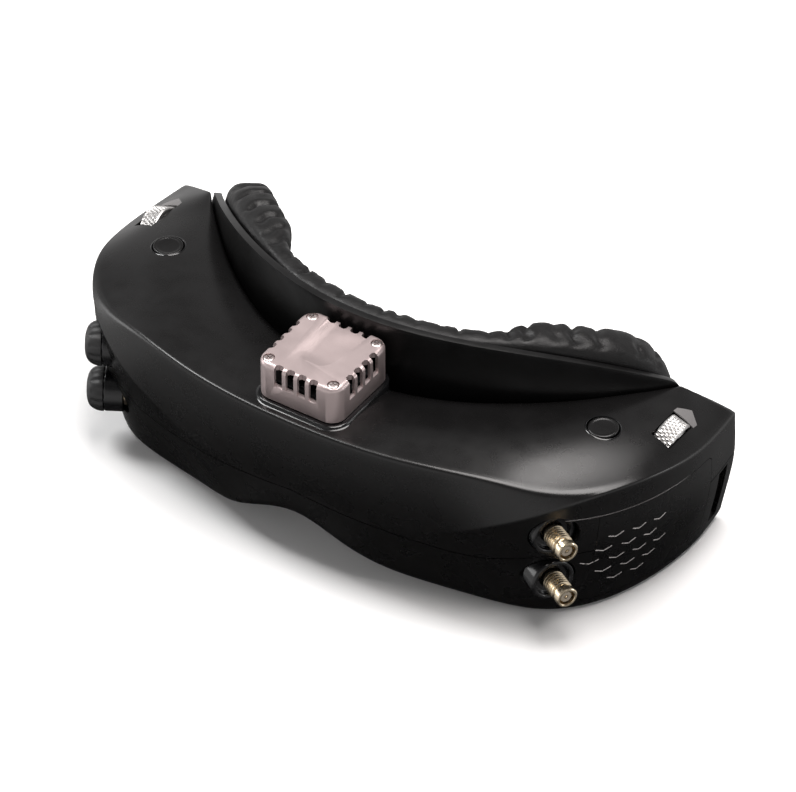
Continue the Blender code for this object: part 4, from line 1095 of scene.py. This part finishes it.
for name, side in SIDES.items():
    for level, z in zip(("upper", "lower"), JACK_Z):
        matrix = jack_matrix(side, z)
        bm = bmesh.new()
        boss = fillet_profile(
            [(THREAD_R + 0.2, -4.6), (THREAD_R + 0.2, -0.7), (4.75, -0.7), (4.95, 0.35), (5.3, 0.95),
             (BOSS_R - 0.35, 0.95), (BOSS_R, 0.45), (BOSS_R, -4.6)],
            [0, 0.1, 0.25, 0.15, 0.2, 0.25, 0.3, 0])
        add_turned(bm, boss, steps=96, matrix=matrix)
        piece(f"jack_boss_{level}_{name}_ring", bm, GLOSS, "visor", f"jack_boss_{level}_{name}")

        reach = 9.3 if side > 0 else 4.4
        pitch = 0.95
        profile = [(0, -6.3), (4.7, -6.3), (4.7, -4.9), (THREAD_R - 0.25, -4.9),
                   (THREAD_R - 0.5, 0.3)]
        thread_end = reach - 2.6
        height = 0.45
        while height + pitch < thread_end:
            profile += [(THREAD_R - 0.6, height), (THREAD_R - 0.02, height + pitch * 0.26),
                        (THREAD_R - 0.02, height + pitch * 0.6),
                        (THREAD_R - 0.6, height + pitch * 0.88)]
            height += pitch
        profile += [(THREAD_R - 0.62, thread_end + 0.1), (THREAD_R - 0.62, thread_end + 0.55),
                    (THREAD_R - 0.02, thread_end + 0.7), (THREAD_R - 0.02, reach - 0.3),
                    (THREAD_R - 0.3, reach), (2.42, reach), (2.3, reach - 0.12), (2.3, reach - 3.6),
                    (0, reach - 3.6)]
        bm = bmesh.new()
        add_turned(bm, profile, steps=80, matrix=matrix)
        piece(f"antenna_jack_{level}_{name}_barrel", bm, GOLD, "visor",
              f"antenna_jack_{level}_{name}", smooth=25)
        bm = bmesh.new()
        add_turned(bm, [(0.62, reach - 3.59), (1.75, reach - 3.59), (1.75, reach - 0.9),
                        (1.6, reach - 0.7), (0.62, reach - 0.7)], steps=64, matrix=matrix)
        piece(f"jack_insulator_{level}_{name}", bm, DIELECTRIC, "visor", slot="inner")
        bm = bmesh.new()
        add_turned(bm, [(0, reach - 0.4), (0.3, reach - 0.45), (0.5, reach - 0.8),
                        (0.5, reach - 3.5), (0, reach - 3.5)], steps=32, matrix=matrix)
        piece(f"jack_pin_{level}_{name}", bm, GOLD, "visor", slot="gold")


def capped(radius, height, angle):
    """Finger flats round a dust cap's skirt."""
    if radius < 5.0 or height > 4.6:
        return radius
    return radius - 0.32 * (0.5 + 0.5 * math.cos(12 * angle)) ** 2


for level, z in zip(("upper", "lower"), JACK_Z):
    bm = bmesh.new()
    profile = fillet_profile(
        [(0, 5.25), (1.5, 5.25), (1.9, 5.9), (2.6, 6.05), (4.6, 5.55), (5.9, 4.4), (6.6, 2.6),
         (6.7, 1.0), (THREAD_R + 0.25, 1.0), (THREAD_R + 0.25, 4.8), (0, 4.8)],
        [0, 0.2, 0.3, 0.4, 0.8, 0.9, 0.8, 0.2, 0, 0, 0])
    add_turned(bm, profile, steps=144, matrix=jack_matrix(-1, z), radius_at=capped)
    piece(f"dust_cap_{level}_moulded", bm, RUBBER, f"cap_{level}", f"dust_cap_{level}", smooth=45)


# ---- face plate --------------------------------------------------------------------------
def plate_bmesh(columns=150, rows=34):
    bm = bmesh.new()
    grid = []
    for i in range(columns + 1):
        x = PLATE_END * math.sin(math.pi * (i / columns - 0.5) * 0.8) / math.sin(0.4 * math.pi)
        low, high = base_z(x), rim_z(x)
        grid.append([bm.verts.new(plate_point(x, low + (high - low) * j / rows))
                     for j in range(rows + 1)])
    for here, after in zip(grid, grid[1:]):
        for j in range(rows):
            bm.faces.new((here[j], after[j], after[j + 1], here[j + 1]))
    return bm


face_plate = new_object("face_plate_moulded", mesh_from(plate_bmesh(), "face_plate_moulded"), PLATE)
thickness = face_plate.modifiers.new("thickness", "SOLIDIFY")
thickness.thickness = PLATE_T * MM
thickness.offset = -1
bake(face_plate)
EYE_HOLE_R = 15.6
stadium = []
for quarter in range(2):
    shift = IPD_TRAVEL if quarter == 0 else -IPD_TRAVEL
    for step in range(33):
        angle = -math.pi / 2 + math.pi * step / 32 + math.pi * quarter
        stadium.append((shift + EYE_HOLE_R * math.cos(angle), EYE_HOLE_R * math.sin(angle)))
applied(face_plate, *[cutter("eye_cut", add_prism, stadium, -70, -20, turn=AXES_XZ,
                             origin=(side * EYE_X, 0, EYE_Z)) for side in SIDES.values()])
rounded_edges(face_plate, width=0.55, segments=4, angle=50)
settle(face_plate, "visor", "face_plate")


# ---- face pad ----------------------------------------------------------------------------
PAD_BAND = 12.5
FOAM_T = 13.0
PAD_SIDES = 22
FOAM_VOXEL = 1.7
CLOTH_CAP = 1.4 * MM
CLOTH_FRAMES = 20


def pad_path():
    half = PAD_BAND / 2 + 0.8
    right = [(x, base_z(x) + half) for x in (25.5, 31.0, 38.0, 47.0, 58.0, 66.5)]
    right += [(72.0, 0.5), (74.2, 11.5), (74.9, 22.0), (74.0, 32.0)]
    top = zip((69.0, 61.0, 51.0, 40.0, 27.0, 13.5, 0.0), (4.6, 4.4, 3.4, 0.8, -0.6, -0.8, -0.8))
    right += [(x, rim_z(x) - half + rise) for x, rise in top]
    left = [(-x, z) for x, z in reversed(right[:-1])]
    return right + left


def fine_path(step=1.6):
    """The pad's middle line at equal steps, with the distance along it."""
    rough = [Vector((x, 0, z)) for x, z in pad_path()]
    dense = np.array([spline_at(rough, i / 20) for i in range(20 * (len(rough) - 1) + 1)])
    lengths = np.concatenate([[0], np.cumsum(np.linalg.norm(np.diff(dense, axis=0), axis=1))])
    count = int(lengths[-1] / step)
    stops = np.linspace(0, lengths[-1], count + 1)
    return [(Vector((np.interp(s, lengths, dense[:, 0]), np.interp(s, lengths, dense[:, 2]))), s)
            for s in stops], lengths[-1]


def pad_depth(x):
    """Thickness of the pad: fuller on the two lobes beside the eyes than across the brow."""
    lobe = smooth_step((abs(x) - 38) / 12)
    return FOAM_T * (0.62 + 0.4 * lobe)


random.seed(11)
path, path_length = fine_path()


def make_pleats():
    """Distances along the pad of its gathers, with their depth and width."""
    pleats = []
    s = 3.0
    while s < path_length - 3:
        pleats.append((s, random.uniform(0.5, 1.5), random.uniform(0.6, 1.2)))
        s += random.uniform(4.2, 8.5)
    return pleats


pleats = make_pleats()


def crease_depth(s):
    return sum(depth * math.exp(-((s - at) / width) ** 2) for at, depth, width in pleats)


def pad_bmesh():
    bm = bmesh.new()
    rings = []
    angles = [math.pi * 2 * step / PAD_SIDES for step in range(PAD_SIDES)]
    shape = [(math.cos(angle), math.sin(angle)) for angle in angles]
    for i, (point, s) in enumerate(path):
        ahead, behind = path[min(i + 1, len(path) - 1)][0], path[max(i - 1, 0)][0]
        along = (ahead - behind).normalized()
        across = Vector((along.y, -along.x))
        depth = pad_depth(point.x)
        end = min(s, path_length - s)
        taper = math.sqrt(max(1 - (1 - min(end / 5, 1)) ** 2, 0.03))
        ring = []
        for c, d in shape:
            share = math.copysign(abs(c) ** 0.62, c) * 0.5 * taper
            height = 0.5 + math.copysign(abs(d) ** 0.55, d) * 0.5 * (0.55 + 0.45 * taper)
            x, z = point + across * share * (PAD_BAND - 0.6)
            ring.append(bm.verts.new(plate_point(x, z, PLATE_T + GAP + 0.2 + height * depth)))
        rings.append(ring)
    for here, after in zip(rings, rings[1:]):
        for j in range(len(here)):
            k = (j + 1) % len(here)
            bm.faces.new((here[j], after[j], after[k], here[k]))
    bm.faces.new(rings[0])
    bm.faces.new(rings[-1][::-1])
    bmesh.ops.recalc_face_normals(bm, faces=bm.faces)
    return bm


foam = new_object("face_foam_cover", mesh_from(pad_bmesh(), "face_foam_cover"))
remesh = foam.modifiers.new("even", "REMESH")
remesh.mode = "VOXEL"
remesh.voxel_size = FOAM_VOXEL * MM
bake(foam)


def inflate(obj):
    """Cloth under slight pressure, with the points near the plate held."""
    before = np.array([v.co for v in obj.data.vertices])
    held = obj.vertex_groups.new(name="held")
    for vert in obj.data.vertices:
        local = vert.co / MM - OFFSET
        depth = (local.y - wall_y(local.x)) if abs(local.x) < 90 else 0
        held.add([vert.index], 1.0 if depth < PLATE_T + 2.2 else 0.0, "REPLACE")
    cloth = obj.modifiers.new("cloth", "CLOTH")
    settings = cloth.settings
    settings.quality = 4
    settings.use_pressure = True
    settings.uniform_pressure_force = 4
    settings.effector_weights.gravity = 0
    settings.vertex_group_mass = "held"
    settings.tension_stiffness = 12
    settings.bending_stiffness = 0.4
    cloth.point_cache.frame_start, cloth.point_cache.frame_end = 1, CLOTH_FRAMES
    scene = bpy.context.scene
    for frame_number in range(1, CLOTH_FRAMES + 1):
        scene.frame_set(frame_number)
    bake(obj)
    scene.frame_set(1)
    after = np.array([v.co for v in obj.data.vertices])
    move = after - before
    size = np.linalg.norm(move, axis=1, keepdims=True)
    after = before + move * np.minimum(1, CLOTH_CAP / np.maximum(size, 1e-9))
    obj.data.vertices.foreach_set("co", after.astype(np.float32).ravel())


inflate(foam)
finer = foam.modifiers.new("finer", "SUBSURF")
finer.levels = finer.render_levels = 1
bake(foam)

path_points = np.array([(p.x, p.y) for p, _ in path])
path_stops = np.array([s for _, s in path])


def wrinkle(obj):
    """Gathers across the pad, puckers beside them and a soft unevenness of the foam."""
    mesh = obj.data
    normals = [vert.normal.copy() for vert in mesh.vertices]
    for vert in mesh.vertices:
        local = vert.co / MM - OFFSET
        slope = wall_slope(local.x)
        behind = (local.y - wall_y(local.x)) / math.hypot(slope, 1)
        flat_x = local.x + behind * slope / math.hypot(slope, 1)
        gaps = (path_points[:, 0] - flat_x) ** 2 + (path_points[:, 1] - local.z) ** 2
        near = int(gaps.argmin())
        s = path_stops[near]
        if 0 < near < len(path_stops) - 1:
            before, after = gaps[near - 1], gaps[near + 1]
            bend = before - 2 * gaps[near] + after
            s += (path_stops[1] - path_stops[0]) * 0.5 * (before - after) / bend if bend > 1e-9 else 0
        free = smooth_step((behind - PLATE_T - 1.5) / 4)
        sway = 1.6 * noise.noise(Vector((behind * 0.22, local.z * 0.05, 3.1)))
        fold = crease_depth(s + sway)
        pucker = 0.2 * noise.noise(Vector((s * 0.55, behind * 0.16, 7.7)))
        soft = 0.35 * noise.noise(Vector((local.x * 0.09, behind * 0.12, local.z * 0.09)))
        vert.co += normals[vert.index] * (pucker + soft - fold) * free * MM
    mesh.update()


wrinkle(foam)
foam.data.materials.clear()
foam.data.materials.append(FOAM)
foam.data.shade_smooth()
settle(foam, "visor", "face_foam")


# ---- optics ------------------------------------------------------------------------------
def ribbed(radius, height, angle):
    if radius < 13.6:
        return radius
    return radius - 0.35 * (0.5 + 0.5 * math.cos(48 * angle)) ** 3


for name, side in SIDES.items():
    matrix = Matrix.Translation((side * EYE_X, 0, EYE_Z)) @ REAR_AXIS.to_4x4()
    bm = bmesh.new()
    add_turned(bm, [(0, 14.3), (12.5, 14.3), (12.5, 30.8), (12.8, 31.0), (14.3, 31.0),
                    (14.6, 30.7), (14.6, 13.0), (0, 13.0)], steps=96, matrix=matrix)
    piece(f"eye_carriage_{name}_tube", bm, INNER, f"carriage_{name}", f"eye_carriage_{name}")
    bm = bmesh.new()
    add_turned(bm, [(10.9, 41.3), (11.1, 41.5), (11.9, 41.5), (12.1, 41.3), (12.1, 21.0),
                    (10.9, 21.0), (10.9, 34.0), (9.6, 34.0), (9.6, 35.0), (10.9, 35.0)],
               steps=96, matrix=matrix)
    piece(f"lens_barrel_{name}_tube", bm, INNER, f"barrel_{name}", f"lens_barrel_{name}")
    bm = bmesh.new()
    bulge = [(10.6 * math.cos(math.pi / 2 * (1 - i / 12)),
              38.2 + 2.6 * math.sin(math.pi / 2 * (1 - i / 12))) for i in range(13)]
    add_turned(bm, [(max(r, 0), h) for r, h in bulge[:-1]] + [(10.6, 38.4), (10.6, 38.0)]
               + [(max(r, 0), 76.4 - h) for r, h in reversed(bulge[:-1])], steps=96, matrix=matrix)
    piece(f"lens_{name}_glass", bm, LENS, f"barrel_{name}", f"lens_{name}", smooth=60)
    bm = bmesh.new()
    add_turned(bm, [(13.9, 36.2), (14.3, 35.8), (14.3, 32.0), (13.9, 31.6), (12.4, 31.6),
                    (12.4, 36.2)], steps=288, matrix=matrix, radius_at=ribbed)
    piece(f"focus_ring_{name}_ribbed", bm, RUBBER, f"ring_{name}", f"focus_ring_{name}", smooth=45)

# ---- floor, lights and camera ------------------------------------------------------------
floor_bm = bmesh.new()
bmesh.ops.create_grid(floor_bm, x_segments=1, y_segments=1, size=4)
floor_mesh = bpy.data.meshes.new("floor")
floor_bm.to_mesh(floor_mesh)
floor_bm.free()
floor = new_object("floor", floor_mesh)
floor.location.z = cad_box[0].z - 0.0002
floor_look = bpy.data.materials.new("pale_floor")
floor_look.use_nodes = True
floor_shader = floor_look.node_tree.nodes["Principled BSDF"]
floor_shader.inputs["Base Color"].default_value = (0.93, 0.93, 0.93, 1)
floor_shader.inputs["Roughness"].default_value = 0.9
floor_shader.inputs["Specular IOR Level"].default_value = 0.1
floor_mesh.materials.append(floor_look)
floor.visible_glossy = False

# the studio round the object: bright at the horizon, dark overhead and underneath
sky = bpy.data.worlds.new("studio")
bpy.context.scene.world = sky
sky.use_nodes = True
sky_nodes = sky.node_tree.nodes
direction = sky_nodes.new("ShaderNodeTexCoord")
split = add_node(sky.node_tree, "SeparateXYZ", (direction.outputs["Generated"], "Vector"))
height = add_node(sky.node_tree, "MapRange", (split.outputs["Z"], "Value"), From_Min=-1)
shades = add_node(sky.node_tree, "ValToRGB", (height.outputs["Result"], "Fac"))
shades.color_ramp.interpolation = "EASE"
SKY_STOPS = ((-0.8, 0.02), (-0.6, 0.22), (-0.45, 0.62), (-0.1, 0.8), (0.25, 0.62), (0.62, 0.16))
while len(shades.color_ramp.elements) < len(SKY_STOPS):
    shades.color_ramp.elements.new(0.5)
for stop, (z, bright) in zip(shades.color_ramp.elements, SKY_STOPS):
    stop.position = (z + 1) / 2
for stop, (z, bright) in zip(shades.color_ramp.elements, SKY_STOPS):
    stop.color = (bright, bright * 0.985, bright * 0.98, 1)
sky.node_tree.links.new(shades.outputs["Color"], sky_nodes["Background"].inputs["Color"])
sky_nodes["Background"].inputs["Strength"].default_value = 1.0


def softbox(name, place, aim, size, power, color=(1, 1, 1)):
    data = bpy.data.lights.new(name, "AREA")
    data.shape = "RECTANGLE"
    data.size, data.size_y = size
    data.energy = power
    data.color = color
    obj = new_object(name, data)
    obj.location = place
    obj.rotation_mode = "QUATERNION"
    obj.rotation_quaternion = (Vector(aim) - Vector(place)).to_track_quat("-Z", "Y")


WARM = (1.0, 0.965, 0.95)
softbox("overhead", (0.14, 0.12, 1.0), (0, 0, 0), (0.75, 0.62), 15, WARM)
softbox("left_strip", (-0.74, -0.06, 1.0), (0, 0, 0), (0.3, 0.5), 9)
softbox("left_low", (-1.25, -0.35, 0.2), (0, 0, 0.03), (0.5, 0.5), 2.5)
softbox("rear_right", (1.15, 0.7, 0.22), (0, 0, 0.03), (0.4, 0.3), 2.0)

LENS_MM, SENSOR_MM, DISTANCE = 316.58, 36.0, 1.9718
SHIFT_X, SHIFT_Y = 0.057, 0.0095
AZIMUTH, ELEVATION, ROLL = map(math.radians, (34.16, 39.75, -0.51))
back = Vector((math.sin(AZIMUTH) * math.cos(ELEVATION), -math.cos(AZIMUTH) * math.cos(ELEVATION),
               math.sin(ELEVATION)))
camera_data = bpy.data.cameras.new("camera")
camera_data.sensor_width = SENSOR_MM
camera_data.lens = LENS_MM
camera_data.shift_x = SHIFT_X
camera_data.shift_y = SHIFT_Y
camera_data.clip_end = 20
camera = new_object("camera", camera_data)
target = world((0, 30, 25))
camera.location = target + back * DISTANCE
look = (-back).to_track_quat("-Z", "Y").to_matrix()
camera.rotation_mode = "QUATERNION"
camera.rotation_quaternion = (look @ Matrix.Rotation(ROLL, 3, "Z")).to_quaternion()
bpy.context.scene.camera = camera
bpy.context.scene.view_settings.view_transform = "Standard"

for spare in (skin, cavity):
    bpy.data.objects.remove(spare, do_unlink=True)
